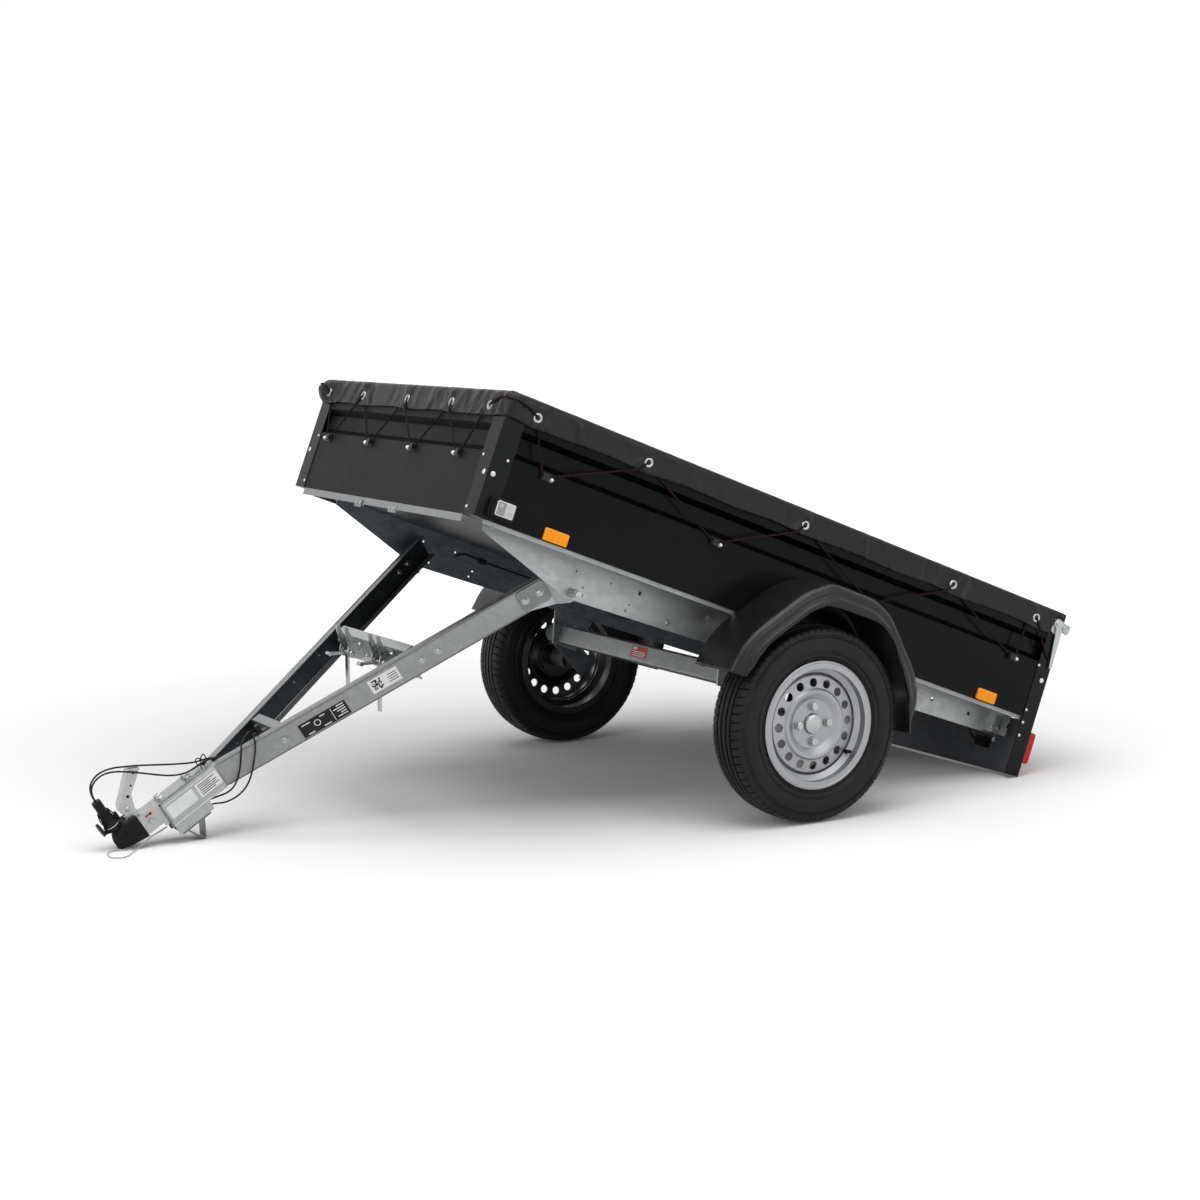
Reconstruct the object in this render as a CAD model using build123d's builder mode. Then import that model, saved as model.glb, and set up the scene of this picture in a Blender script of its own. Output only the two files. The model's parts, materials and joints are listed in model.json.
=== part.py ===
from build123d import *

import os
from math import acos, asin, atan2, cos, degrees, hypot, pi, radians, sin, tan

# Tipping utility trailer with a flat cover, parked with its bed tipped back.
# Millimetres.  The bed is modelled level about the wheel axis: X forward, Y to the left, Z up.
# The drawbar is modelled level about the tipping pin: X forward along the drawbar.
# Both are then turned into the parked position, where the wheels, the foot of the rear posts,
# the support foot and the nose of the coupling stand on the floor.

# ---- bed box -------------------------------------------------------------------------------
BED_FRONT = 1147.5  # front face of the box, ahead of the wheel axis
BED_REAR = 925.0  # rear face of the box, behind the wheel axis
BED_WIDTH = 1182.0  # over the corner posts
FLOOR_LEVEL = 238.0  # underside of the floor board above the wheel axis
FLOOR_BOARD = 9.0
WALL_TOP = 578.0  # top of the side walls above the wheel axis
SHEET = 2.0  # wall sheet
POST_SHEET = 2.5
WALL_FLANGE = 26.0  # folded flanges at the top and bottom of the walls
RECESS_LOW = 412.0  # start of the recessed band
RECESS_HIGH = 488.0  # end of the recessed band
RECESS_DEPTH = 20.0
RECESS_SLOPE = 16.0  # height of the folds above and below the band
FRONT_POST_WIDTH = 63.0
REAR_POST_WIDTH = 53.0
REAR_POST_FOOT = 54.0  # lower end of the rear posts above the wheel axis
JAMB_WIDTH = 24.0
JAMB_SETBACK = 29.0  # jamb behind which the tailgate closes, ahead of the rear face

# ---- tailgate ------------------------------------------------------------------------------
GATE_INSET = 2.0  # tailgate ahead of the rear face of the posts
GATE_SIDE_GAP = 5.0
GATE_BOTTOM = 246.0
GATE_TOP = 572.0
HINGE_PIN_RADIUS = 4.0
HINGE_WALL = 2.5
HINGE_LENGTH = 46.0
HINGE_SPREAD = 380.0  # hinges to the left and right of the centre
HINGE_DROP = 4.0  # hinge line below the lower edge of the tailgate
HINGE_LUG = 5.0
LATCH_PLATE = 2.5
LATCH_PLATE_RADIUS = 25.0
LATCH_PLATE_AHEAD = 26.0
LEVER_SHEET = 5.0
STUD_RADIUS = 5.0
STUD_DROP = 45.0  # studs below the top of the walls
STUD_BAR_INSET = 24.0  # inner ends of the stud bar and its block, inboard of the tailgate's edge
STUD_BLOCK_INSET = 26.0
STUD_BLOCK = 22.0
STUD_END = 4.0
LEVER_PIVOT = (30.0, 10.0)  # ahead of the rear face and above the stud
LEVER_HEAD_RADIUS = 14.0
LEVER_HANDLE = [(32, 0), (6, -8), (4, -131), (14, -131)]

# ---- cover ---------------------------------------------------------------------------------
COVER_SHEET = 2.5
COVER_HEM = 505.0  # lower edge of the skirt above the wheel axis
COVER_CORNER_LENGTH = 60.0  # cut-out round the tailgate latches
COVER_CORNER_GAP = 9.0  # cut-out above the latch plates
FLAP_INSET = 34.0  # ends of the rear flap inboard of the tailgate's edges

# ---- chassis -------------------------------------------------------------------------------
RAIL_INSET = 114.0  # rail web inboard of the outer faces of the corner posts
RAIL_SHEET = 2.5
RAIL_FLANGE = 42.0
RAIL_FRONT = 1052.0
RAIL_REAR = 895.0
RAIL_TIP_DEPTH = 22.0
RAIL_DEEP_AT = 748.0  # deepest point of the rail, ahead of the wheel axis
RAIL_DEEP = 118.0
RAIL_REAR_DEPTH = 78.0
PIN_AHEAD = 728.0  # tipping pin ahead of the wheel axis
PIN_LEVEL = 138.0  # tipping pin above the wheel axis
RAIL_HOLE_RADIUS = 3.0
RAIL_SLOT = 11.0  # side of the square holes
RAIL_HOLES = [(697, 162), (692, 141), (732, 198), (615, 199), (537, 160), (544, 141)]
RAIL_SQUARES = [(515, 200), (275, 200), (-605, 200), (-760, 196)]
RAIL_END_STEP = 22.0  # how far the rail's end bracket steps outwards
RAIL_END_START = 812.0  # front of the end bracket, behind the wheel axis
RAIL_END_FLAT = 28.0
RAIL_END_SLOPE = 10.0
RAIL_END_MARGIN = 5.0
RAIL_END_NOTCH = 8.0
RAIL_DEEP_LENGTH = 60.0
RAIL_CLIP = 9.0  # block that the lamp cable ends at
RAIL_CLIP_AT = 632.0
RAIL_CLIP_LEVEL = 127.0

# ---- wheels and axle -----------------------------------------------------------------------
TYRE_GAP = 35.5  # between the corner posts and the tyres
TYRE_RADIUS = 279.5
TYRE_WIDTH = 145.0
TREAD_WIDTH = 112.0
TREAD_DROP = 5.0  # shoulders of the tread below its middle
TREAD_THICKNESS = 11.5
SHOULDER_THICKNESS = 17.5
SHOULDER_DEPTH = 25.5  # points of the side wall, below the middle of the tread
WIDEST_DEPTH = 51.5
LOWER_DEPTH = 73.5
SIDE_WALL = 9.0
WALL_CURVE = (2.0, 4.0)  # side wall inside its widest part, near the rim and near the tread
BEAD_WIDTH = 16.0
BEAD_RISE = 9.5
BEAD_LIP = 2.0
SHOULDER_INSET = 6.0
RIM_FLANGE_RADIUS = 182.5
RIM_WIDTH = 130.0  # over the rim flanges
RIM_SEAT_RADIUS = 165.0
RIM_WELL_RADIUS = 148.0
RIM_WELL_OUTER = (42.0, 32.0)  # slopes of the well, from the wheel's centre plane
RIM_WELL_INNER = (-8.0, -22.0)
DISC_SKIRT = (2.0, 24.0)  # part of the disc that is welded into the well
DISC_OUTLINE = [(136, 34), (102, 38), (96, 44), (88, 43)]
DISC_FOOT = 70.0
VENT_CUT = 60.0
WHEEL_SHEET = 4.0
DISC_OFFSET = 30.0  # mounting face of the wheel disc outboard of the wheel centre
BOLT_CIRCLE = 100.0
WHEEL_BOLTS = 4
VENT_CIRCLE = 236.0
VENTS = 16
VENT_RADIUS = 12.5
CAP_RADIUS = 30.0
HUB_RADIUS = 32.0
BOLT_HOLE_RADIUS = 7.0
WHEEL_BOLT_RADIUS = 6.0
BOLT_HEAD_RADIUS = 11.0
BOLT_HEAD = 12.0
HUB_INBOARD = 66.0
HUB_FLANGE = 12.0
HUB_FLANGE_RADIUS = 62.0
CAP_HEIGHT = 12.0
CAP_ROUND = 3.0
STUB_RADIUS = 15.0
STUB_MARGIN = 10.0  # end of the stub inside the hub's outer face
STUB_BORE_END = 6.0
AXLE_TUBE = 60.0  # square tube of the rubber axle
AXLE_TUBE_WALL = 4.0
AXLE_TUBE_ROUND = 8.0
AXLE_AHEAD = 130.0  # axle tube ahead of the wheel axis
AXLE_RISE = 65.0  # axle tube above the wheel axis

# ---- drawbar -------------------------------------------------------------------------------
ARM_HEIGHT = 72.0
ARM_FLANGE = 30.0
ARM_SHEET = 3.0
ARM_START = -30.0  # rear end of the arms, from the tipping pin
ARM_STRAIGHT = 993.0  # where the arms turn parallel
ARM_END = 1176.0
ARM_INNER = 35.0  # outer face of an arm from the centre plane, ahead of the bend
PLATE_SHEET = 4.0
PLATE_GAP = 3.5  # washer between the pivot plate and the rail web
PLATE_JOG = 27.4  # from the outer face of the pivot plate to the arm, at the tipping pin
PLATE_JOG_RUN = 20.0  # length of the jog along the arm
PIN_RADIUS = 8.0
PLATE_FLAT = 16.0  # flat part ahead of the tipping pin
PLATE_ROUND = 27.0
PLATE_END = 117.0
PLATE_MARGIN = 4.0
PLATE_CORNER = 12.0
PIN_STAND_OUT = 22.0
PIN_HEAD = 9.0
PIN_HEAD_RADIUS = 14.0
BEAM_TOP = 68.0
BEAM_BOTTOM = -28.0
LATCH_BEAM_SHEET = 3.0
LATCH_BASE_WIDTH = 84.0
LATCH_BASE_HEIGHT = 60.0
LATCH_HOOK_SPREAD = 27.0
LATCH_HOOK_SHEET = 6.0
LATCH_LEVER_WIDTH = 24.0
LATCH_PIVOT_AHEAD = 40.0  # pivot of the latch, ahead of the latch beam
LATCH_PIVOT_LEVEL = 42.0
LATCH_REACH = 58.0
LATCH_DROP = 140.0
LATCH_BAR_WIDTH = 18.0
LATCH_BASE_SHEET = 4.0
LATCH_PIVOT_RADIUS = 7.0
LATCH_HOOK = [
    (0, 6),
    (26, 12),
    (49, 32),
    (50, 50),
    (36, 64),
    (30, 82),
    (26, 100),
    (18, 118),
    (8, 114),
    (12, 98),
    (13, 80),
    (10, 62),
    (0, 54),
]
BRACE_AT = 804.0  # rear face of the cross brace, from the tipping pin
BRACE_SHEET = 3.0
BRACE_FLANGE = 24.0
CLIP_LEVEL = 48.0
CLIP_WIDTH = 20.0
CLIP_HEIGHT = 12.0
CLIP_DEPTH = 9.0
LOOP_CLIP_AT = 58.0
HEAD_WIDTH = 58.0
HEAD_GAP = 4.0  # between the end of the channel and the body of the head
HEAD_TAIL = 45.0  # start of the head's plate, from the start of the channel
HEAD_LOW = 26.0
HEAD_SLOPE = 89.0  # length of the rise towards the cup
CUP_CROWN = 12.0
CUP_SHOULDER = 6.0
RUBBER = 4.5
COVER_START = 1242.0
COVER_LOW = 24.0
COVER_TRIM = 1.0
HOLDER_RADIUS = 24.0
HOLDER_RISE = 4.0
LID_GAP = 5.0
LID_RISE = 10.0
LID_RADIUS = 20.0
LID_SHEET = 6.0
LID_HINGE_WIDTH = 12.0
WIRE_EYE = 12.0
WIRE_EYE_AT = 22.0
PLUG_AT = 1303.0
PLUG_RADIUS = 22.5
PLUG_BODY = 50.0
PLUG_NECK = 34.0
PLUG_NECK_RADIUS = 12.5
PLUG_TAPER = 8.0
PLUG_COLLAR = 5.0
PLUG_COLLAR_STEP = 2.0
LEVER_WIDTH = 34.0
LEVER_AT = 1246.0
LEVER_SEAT = 96.0
LEVER_SEAT_LENGTH = 34.0
LEVER_CUT_LENGTH = 44.0
LEVER_CLEARANCE = 2.0
LEVER_ROUND = 8.0
LEVER_SHELL = 3.0
LEVER_OUTLINE = [
    (1222, 90),
    (1230, 107),
    (1217, 145),
    (1158, 191),
    (1185, 208),
    (1263, 136),
    (1267, 120),
    (1258, 90),
]
LEVER_HOLLOW = [
    (1210, 110),
    (1227, 110),
    (1214, 143),
    (1180, 168),
    (1166, 190),
    (1185, 203),
    (1260, 134),
    (1263, 121),
    (1255, 104),
    (1210, 104),
]
FOOT_SHEET = 5.0
FOOT_WIDTH = 40.0
LATCH_BEAM_AT = 418.0  # front face of the latch beam, from the tipping pin
LATCH_BEAM_FLANGE = 30.0
LATCH_SPREAD = 108.0
BEAM_CLEARANCE = 2.0  # notches for the arms
BEAM_TOP_CLEARANCE = 8.0
CHANNEL_START = 985.0
CHANNEL_END = 1172.0
SKIRT_START = 1056.0  # where the sides of the channel start to reach below the arms
CHANNEL_BOTTOM = -27.0
CHANNEL_SHEET = 4.0
BALL_RADIUS = 25.25
BALL_AT = 1289.0
BALL_LEVEL = 60.0
HEAD_WALL = 6.0
NOSE_GAP = 1.5
FOOT_AT = 1120.5  # centre of the bend of the support foot
FOOT_DROP = 80.0
FOOT_ROUND = 6.0
FOOT_FRONT = 1150.0
FOOT_REAR = 1086.0
FOOT_LAP = 15.0  # feet of the strip beyond its bends

# ---- floor frame, lamps and mudguards ------------------------------------------------------
FRONT_BAR_INSET = 68.0  # ends of the front bar inboard of the corner posts
FRONT_BAR_HEIGHT = 20.0
FRONT_BAR_DEPTH = 32.0
FRONT_BAR_SHEET = 3.0
FRONT_BAR_TOP = 235.5
CATCH_WIDTH = 56.0  # plate that a tip latch holds
CATCH_CLEARANCE = 5.5  # catch plate above the latch beam when the bed is down
EDGE_SHEET = 2.0
EDGE_WIDTH = 30.0
EDGE_SETBACK = 6.0
EDGE_DEPTH = 12.0
LAMP_WIDTH = 106.0
LAMP_HEIGHT = 98.0
LAMP_DEPTH = 44.0
LAMP_LEVEL = 150.0
LAMP_ROUND = 5.0
LAMP_CORNER = 8.0
LAMP_INSET = 4.0
BOARD_DROP = 12.0  # top of the light board below the floor
NUMBER_PLATE_WIDTH = 520.0
NUMBER_PLATE_HEIGHT = 110.0
NUMBER_PLATE_SHEET = 3.0
PLATE_LEVEL = 146.0
JUNCTION_INSET = 167.2  # middle of the box inboard of the light board's end
JUNCTION_LEVEL = 134.0
JUNCTION_WIDTH = 46.0
JUNCTION_HEIGHT = 32.0
JUNCTION_DEPTH = 24.0
POSITION_LAMP_AT = 1079.0
POSITION_LAMP_LEVEL = 274.0
POSITION_LAMP_LENGTH = 64.0
POSITION_LAMP_HEIGHT = 48.0
POSITION_LAMP_DEPTH = 34.0
POSITION_LAMP_RIM = 8.0
POSITION_LAMP_BASE = 9.0
REFLECTOR_FRONT = 893.0
REFLECTOR_REAR = 707.0
REFLECTOR_LEVEL = 256.0
REFLECTOR_LENGTH = 76.0
REFLECTOR_HEIGHT = 34.0
REFLECTOR_DEPTH = 6.0
REFLECTOR_CORNER = 4.0
GUARD_FRONT = 346.0
GUARD_REAR = 316.0
GUARD_LOW = 60.0
GUARD_MARGIN = 18.5  # outer face outboard of the tyre
GUARD_SHEET = 3.0
GUARD_ROUND = 30.0
GUARD_OUTLINE = [
    (-312, 170),
    (-268, 240),
    (-128, 365),
    (-60, 389),
    (98, 389),
    (180, 336),
    (302, 190),
    (334, 130),
]
GUARD_OPENING = [
    (-302, 50),
    (-288, 90),
    (-256, 168),
    (-160, 284),
    (-118, 318),
    (-66, 329),
    (82, 326),
    (124, 318),
    (160, 294),
    (268, 168),
    (286, 110),
    (314, 50),
]
GUARD_EDGE = 14.0  # rounding of the outer edge
AXLE_SETBACK = 153.0  # end of the axle tube inboard of the wheel's centre plane
AXLE_ARM_RADIUS = 30.0
AXLE_ARM_SHEET = 22.0
AXLE_CORE_RADIUS = 20.0
AXLE_CORE_LENGTH = 90.0
BRACKET_TOP = 134.0
BRACKET_SHEET = 5.0
BRACKET_HALF_TOP = 75.0
BRACKET_HALF_FOOT = 45.0
BRACKET_EDGE = 8.0

# ---- clearances ----------------------------------------------------------------------------
RUNNING = 0.05  # radial clearance of a running fit
SEAT = 0.3  # small gap between pieces that are bolted or laid together

# ---- cables and wire -------------------------------------------------------------------------
CABLE_RADIUS = 2.5
CABLE_APART = 3.3  # centre of each plug cable from the centre plane
WIRE_RADIUS = 1.5
WIRE_APART = 3.0
WIRE_LEVEL = 20.0
BED_CABLE_RADIUS = 3.5

finished = {}


def keep(part, name, place, cord=False):
    """Label a finished piece, move it to its place in the parked trailer and keep it for export."""
    moved = part.moved(place)
    moved.label = name
    finished[name] = (moved, cord)


def keep_pair(part, name, place):
    """Keep a left-hand piece and its mirror image."""
    keep(part, name + "_left", place)
    keep(mirror(part, about=Plane.XZ, mode=Mode.PRIVATE), name + "_right", place)


# ---- parked position -----------------------------------------------------------------------
bed_tilt = atan2(REAR_POST_FOOT, BED_REAR) + asin(TYRE_RADIUS / hypot(REAR_POST_FOOT, BED_REAR))
pin_x = PIN_AHEAD * cos(bed_tilt) - PIN_LEVEL * sin(bed_tilt)
pin_z = TYRE_RADIUS + PIN_AHEAD * sin(bed_tilt) + PIN_LEVEL * cos(bed_tilt)
foot_radius = FOOT_ROUND + FOOT_SHEET / 2
drawbar_dip = asin((pin_z - foot_radius) / hypot(FOOT_AT, FOOT_DROP)) - atan2(FOOT_DROP, FOOT_AT)
bed_place = Location((0, 0, TYRE_RADIUS), (0, -degrees(bed_tilt), 0))
drawbar_place = Location((pin_x, 0, pin_z), (0, degrees(drawbar_dip), 0))

half_width = BED_WIDTH / 2
wall_face = half_width - POST_SHEET  # outer face of the side walls
front_face = BED_FRONT - POST_SHEET  # outer face of the front wall
gate_face = -BED_REAR + GATE_INSET
jamb_face = -BED_REAR + JAMB_SETBACK
wheel_plane = half_width + TYRE_GAP + TYRE_WIDTH / 2
axle_half = wheel_plane - AXLE_SETBACK
rail_face = half_width - RAIL_INSET
rail_inside = rail_face - RAIL_SHEET
plate_outer = rail_inside - PLATE_GAP
arm_spread = plate_outer - PLATE_JOG
arm_slope = (arm_spread - ARM_INNER) / ARM_STRAIGHT
arm_angle = atan2(arm_slope, 1)
front_bar_half = half_width - FRONT_BAR_INSET
catch_depth = FRONT_BAR_TOP - PIN_LEVEL - BEAM_TOP - CATCH_CLEARANCE
guard_inner = wall_face + SEAT
guard_outer = wheel_plane + TYRE_WIDTH / 2 + GUARD_MARGIN


def tangent_point(point, centre, radius, side):
    """Where the line from a point touches a circle, on the chosen side."""
    across = point[0] - centre[0]
    up = point[1] - centre[1]
    angle = atan2(up, across) + side * acos(radius / hypot(across, up))
    return centre[0] + radius * cos(angle), centre[1] + radius * sin(angle)


def wall_section(face, inward, bottom, top, flange):
    """Centre line of a folded wall sheet: lower flange, flat, recessed band, flat, upper flange."""
    skin = face + inward * SHEET / 2
    band = skin + inward * RECESS_DEPTH
    return [
        (face + inward * flange, bottom + SHEET / 2),
        (skin, bottom + SHEET / 2),
        (skin, RECESS_LOW),
        (band, RECESS_LOW + RECESS_SLOPE),
        (band, RECESS_HIGH - RECESS_SLOPE),
        (skin, RECESS_HIGH),
        (skin, top - SHEET / 2),
        (face + inward * flange, top - SHEET / 2),
    ]


# ---- side walls ----------------------------------------------------------------------------
wall_start = jamb_face + POST_SHEET + SEAT
with BuildPart() as side_wall:
    with BuildSketch(Plane.YZ.offset(wall_start)):
        with BuildLine():
            Polyline(wall_section(wall_face, -1, FLOOR_LEVEL - SHEET, WALL_TOP, WALL_FLANGE))
        trace(line_width=SHEET)
    extrude(amount=front_face - SEAT - wall_start)
keep_pair(side_wall.part, "side_wall", bed_place)

# ---- front wall ----------------------------------------------------------------------------
front_wall_half = wall_face - WALL_FLANGE - 2 * SEAT
with BuildPart() as front_wall:
    with BuildSketch(Plane.XZ):
        with BuildLine():
            Polyline(wall_section(front_face, -1, FLOOR_LEVEL - SHEET, WALL_TOP, WALL_FLANGE))
        trace(line_width=SHEET)
    extrude(amount=front_wall_half, both=True)
keep(front_wall.part, "front_wall", bed_place)

# ---- corner posts --------------------------------------------------------------------------
with BuildPart() as front_post:
    with BuildSketch(Plane.XY.offset(FLOOR_LEVEL - SHEET)):
        with BuildLine():
            Polyline(
                (BED_FRONT - FRONT_POST_WIDTH, half_width - POST_SHEET / 2),
                (BED_FRONT - POST_SHEET / 2, half_width - POST_SHEET / 2),
                (BED_FRONT - POST_SHEET / 2, half_width - FRONT_POST_WIDTH),
            )
        trace(line_width=POST_SHEET)
    extrude(amount=WALL_TOP - FLOOR_LEVEL + SHEET)
keep_pair(front_post.part, "front_post", bed_place)

with BuildPart() as rear_post:
    with BuildSketch(Plane.XY.offset(REAR_POST_FOOT)):
        with Locations((-BED_REAR + REAR_POST_WIDTH / 2, half_width - POST_SHEET / 2)):
            Rectangle(REAR_POST_WIDTH, POST_SHEET)
        with Locations((jamb_face + POST_SHEET / 2, half_width - POST_SHEET - JAMB_WIDTH / 2)):
            Rectangle(POST_SHEET, JAMB_WIDTH)
    extrude(amount=WALL_TOP - REAR_POST_FOOT)
keep_pair(rear_post.part, "rear_post", bed_place)

# ---- floor ---------------------------------------------------------------------------------
floor_rear = jamb_face + POST_SHEET + SEAT
floor_front = front_face - SHEET - SEAT
floor_half = wall_face - SHEET - SEAT
with BuildPart() as floor_board:
    with BuildSketch(Plane.XY.offset(FLOOR_LEVEL)):
        with Locations(((floor_front + floor_rear) / 2, 0)):
            Rectangle(floor_front - floor_rear, 2 * floor_half)
    extrude(amount=FLOOR_BOARD)
keep(floor_board.part, "floor_board", bed_place)

# ---- chassis rails -------------------------------------------------------------------------
rail_top = FLOOR_LEVEL
rail_end = -RAIL_REAR + RAIL_SHEET / 2
bracket_line = rail_face + RAIL_SHEET / 2
with BuildPart() as rail:
    with BuildSketch(Plane.XZ.offset(-rail_inside)):
        with BuildLine():
            Polyline(
                (-RAIL_REAR, rail_top),
                (RAIL_FRONT, rail_top),
                (RAIL_FRONT, rail_top - RAIL_TIP_DEPTH),
                (RAIL_DEEP_AT, rail_top - RAIL_DEEP),
                (RAIL_DEEP_AT - RAIL_DEEP_LENGTH, rail_top - RAIL_DEEP),
                (-RAIL_REAR, rail_top - RAIL_REAR_DEPTH),
                close=True,
            )
        make_face()
        with Locations((PIN_AHEAD, PIN_LEVEL)):
            Circle(PIN_RADIUS + SEAT, mode=Mode.SUBTRACT)
        with Locations(*RAIL_HOLES):
            Circle(RAIL_HOLE_RADIUS, mode=Mode.SUBTRACT)
        with Locations(*RAIL_SQUARES):
            Rectangle(RAIL_SLOT, RAIL_SLOT, mode=Mode.SUBTRACT)
    extrude(amount=-RAIL_SHEET)
    with BuildSketch(Plane.XY.offset(rail_top)):
        with Locations(((RAIL_FRONT - RAIL_REAR) / 2, rail_face + RAIL_FLANGE / 2)):
            Rectangle(RAIL_FRONT + RAIL_REAR, RAIL_FLANGE)
    extrude(amount=-RAIL_SHEET)
    with BuildSketch(Plane.XY.offset(rail_top - RAIL_REAR_DEPTH + RAIL_END_MARGIN)):
        with BuildLine():
            Polyline(
                (-RAIL_END_START, bracket_line),
                (-RAIL_END_START - RAIL_END_FLAT, bracket_line),
                (-RAIL_END_START - RAIL_END_FLAT - RAIL_END_SLOPE, bracket_line + RAIL_END_STEP),
                (rail_end, bracket_line + RAIL_END_STEP),
                (rail_end, rail_face + RAIL_FLANGE),
            )
        trace(line_width=RAIL_SHEET)
    extrude(amount=RAIL_REAR_DEPTH - RAIL_END_MARGIN - RAIL_SHEET)
    with BuildSketch(Plane.YZ.offset(-RAIL_REAR)):
        with Locations((rail_face + RAIL_FLANGE, rail_top - RAIL_REAR_DEPTH / 2)):
            Circle(RAIL_END_NOTCH)
    extrude(amount=RAIL_SHEET, mode=Mode.SUBTRACT)
    with BuildSketch(Plane.YZ.offset(RAIL_CLIP_AT)):
        with Locations((rail_inside - RAIL_CLIP / 2, RAIL_CLIP_LEVEL)):
            Rectangle(RAIL_CLIP, RAIL_CLIP)
    extrude(amount=RAIL_CLIP)
keep_pair(rail.part, "rail", bed_place)

# ---- floor frame: front bar and side strips ------------------------------------------------
with BuildPart() as front_bar:
    with BuildSketch(Plane.YZ.offset(front_face - FRONT_BAR_DEPTH)):
        with Locations((0, FRONT_BAR_TOP - FRONT_BAR_HEIGHT / 2)):
            Rectangle(2 * front_bar_half, FRONT_BAR_HEIGHT)
    extrude(amount=FRONT_BAR_DEPTH)
    with BuildSketch(Plane.YZ.offset(front_face - FRONT_BAR_DEPTH)):
        with Locations((0, FRONT_BAR_TOP - FRONT_BAR_HEIGHT / 2 - FRONT_BAR_SHEET / 2)):
            Rectangle(2 * front_bar_half, FRONT_BAR_HEIGHT - FRONT_BAR_SHEET)
    extrude(amount=FRONT_BAR_DEPTH - FRONT_BAR_SHEET, mode=Mode.SUBTRACT)
    with BuildSketch(Plane.YZ.offset(front_face - FRONT_BAR_SHEET)):
        with Locations(*[(y, FRONT_BAR_TOP - catch_depth / 2) for y in (LATCH_SPREAD, -LATCH_SPREAD)]):
            Rectangle(CATCH_WIDTH, catch_depth)
    extrude(amount=FRONT_BAR_SHEET)
keep(front_bar.part, "front_bar", bed_place)

with BuildPart() as floor_edge:
    with BuildSketch(Plane.YZ.offset(floor_rear)):
        with BuildLine():
            Polyline(
                (wall_face - EDGE_WIDTH, FLOOR_LEVEL - SHEET - EDGE_SHEET / 2),
                (wall_face - EDGE_SETBACK, FLOOR_LEVEL - SHEET - EDGE_SHEET / 2),
                (wall_face - EDGE_SETBACK, FLOOR_LEVEL - SHEET - EDGE_DEPTH),
            )
        trace(line_width=EDGE_SHEET)
    extrude(amount=front_face - FRONT_BAR_DEPTH - SEAT - floor_rear)
keep_pair(floor_edge.part, "floor_edge", bed_place)

# ---- light board, lamps and reflectors -----------------------------------------------------
board_face = -BED_REAR + REAR_POST_WIDTH / 4
board_front = board_face + POST_SHEET
board_half = wall_face - SEAT
board_lip = jamb_face - SEAT - POST_SHEET / 2
board_high = FLOOR_LEVEL - BOARD_DROP
with BuildPart() as light_board:
    with BuildSketch(Plane.XZ):
        with BuildLine():
            Polyline(
                (board_lip, board_high),
                (board_face + POST_SHEET / 2, board_high),
                (board_face + POST_SHEET / 2, REAR_POST_FOOT + POST_SHEET / 2),
                (board_lip, REAR_POST_FOOT + POST_SHEET / 2),
            )
        trace(line_width=POST_SHEET)
    extrude(amount=board_half, both=True)
keep(light_board.part, "light_board", bed_place)

lamp_y = wall_face - LAMP_INSET - LAMP_WIDTH / 2
with BuildPart() as tail_lamp:
    with BuildSketch(Plane.YZ.offset(board_face - SEAT)):
        with Locations((lamp_y, LAMP_LEVEL)):
            RectangleRounded(LAMP_WIDTH, LAMP_HEIGHT, LAMP_CORNER)
    extrude(amount=-LAMP_DEPTH)
    fillet(faces().sort_by(Axis.X)[0].edges(), LAMP_ROUND)
keep_pair(tail_lamp.part, "tail_lamp", bed_place)

with BuildPart() as number_plate:
    with BuildSketch(Plane.YZ.offset(board_face - SEAT)):
        with Locations((0, PLATE_LEVEL)):
            RectangleRounded(NUMBER_PLATE_WIDTH, NUMBER_PLATE_HEIGHT, LAMP_CORNER)
    extrude(amount=-NUMBER_PLATE_SHEET)
keep(number_plate.part, "number_plate", bed_place)

junction_at = board_half - JUNCTION_INSET
with BuildPart() as junction_box:
    with BuildSketch(Plane.YZ.offset(board_front + SEAT)):
        with Locations((junction_at, JUNCTION_LEVEL)):
            RectangleRounded(JUNCTION_WIDTH, JUNCTION_HEIGHT, LAMP_ROUND)
    extrude(amount=JUNCTION_DEPTH)
keep(junction_box.part, "junction_box", bed_place)

with BuildPart() as position_lamps:
    for sign in (1, -1):
        with BuildSketch(Plane.XZ.offset(-sign * (half_width + SEAT))):
            with Locations((POSITION_LAMP_AT, POSITION_LAMP_LEVEL)):
                RectangleRounded(POSITION_LAMP_LENGTH + POSITION_LAMP_RIM, POSITION_LAMP_HEIGHT
                                 + POSITION_LAMP_RIM, LAMP_CORNER)
        extrude(amount=-sign * POSITION_LAMP_BASE)
        with BuildSketch(Plane.XZ.offset(-sign * (half_width + SEAT))):
            with Locations((POSITION_LAMP_AT, POSITION_LAMP_LEVEL)):
                RectangleRounded(POSITION_LAMP_LENGTH, POSITION_LAMP_HEIGHT, LAMP_CORNER)
        extrude(amount=-sign * POSITION_LAMP_DEPTH)
    fillet(faces().sort_by(Axis.Y)[-1].edges() + faces().sort_by(Axis.Y)[0].edges(), LAMP_ROUND)
keep(position_lamps.part, "position_lamps", bed_place)

with BuildPart() as side_reflectors:
    for sign in (1, -1):
        with BuildSketch(Plane.XZ.offset(-sign * (wall_face + SEAT))):
            with Locations((REFLECTOR_FRONT, REFLECTOR_LEVEL), (-REFLECTOR_REAR, REFLECTOR_LEVEL)):
                RectangleRounded(REFLECTOR_LENGTH, REFLECTOR_HEIGHT, REFLECTOR_CORNER)
        extrude(amount=-sign * REFLECTOR_DEPTH)
keep(side_reflectors.part, "side_reflectors", bed_place)

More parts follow.
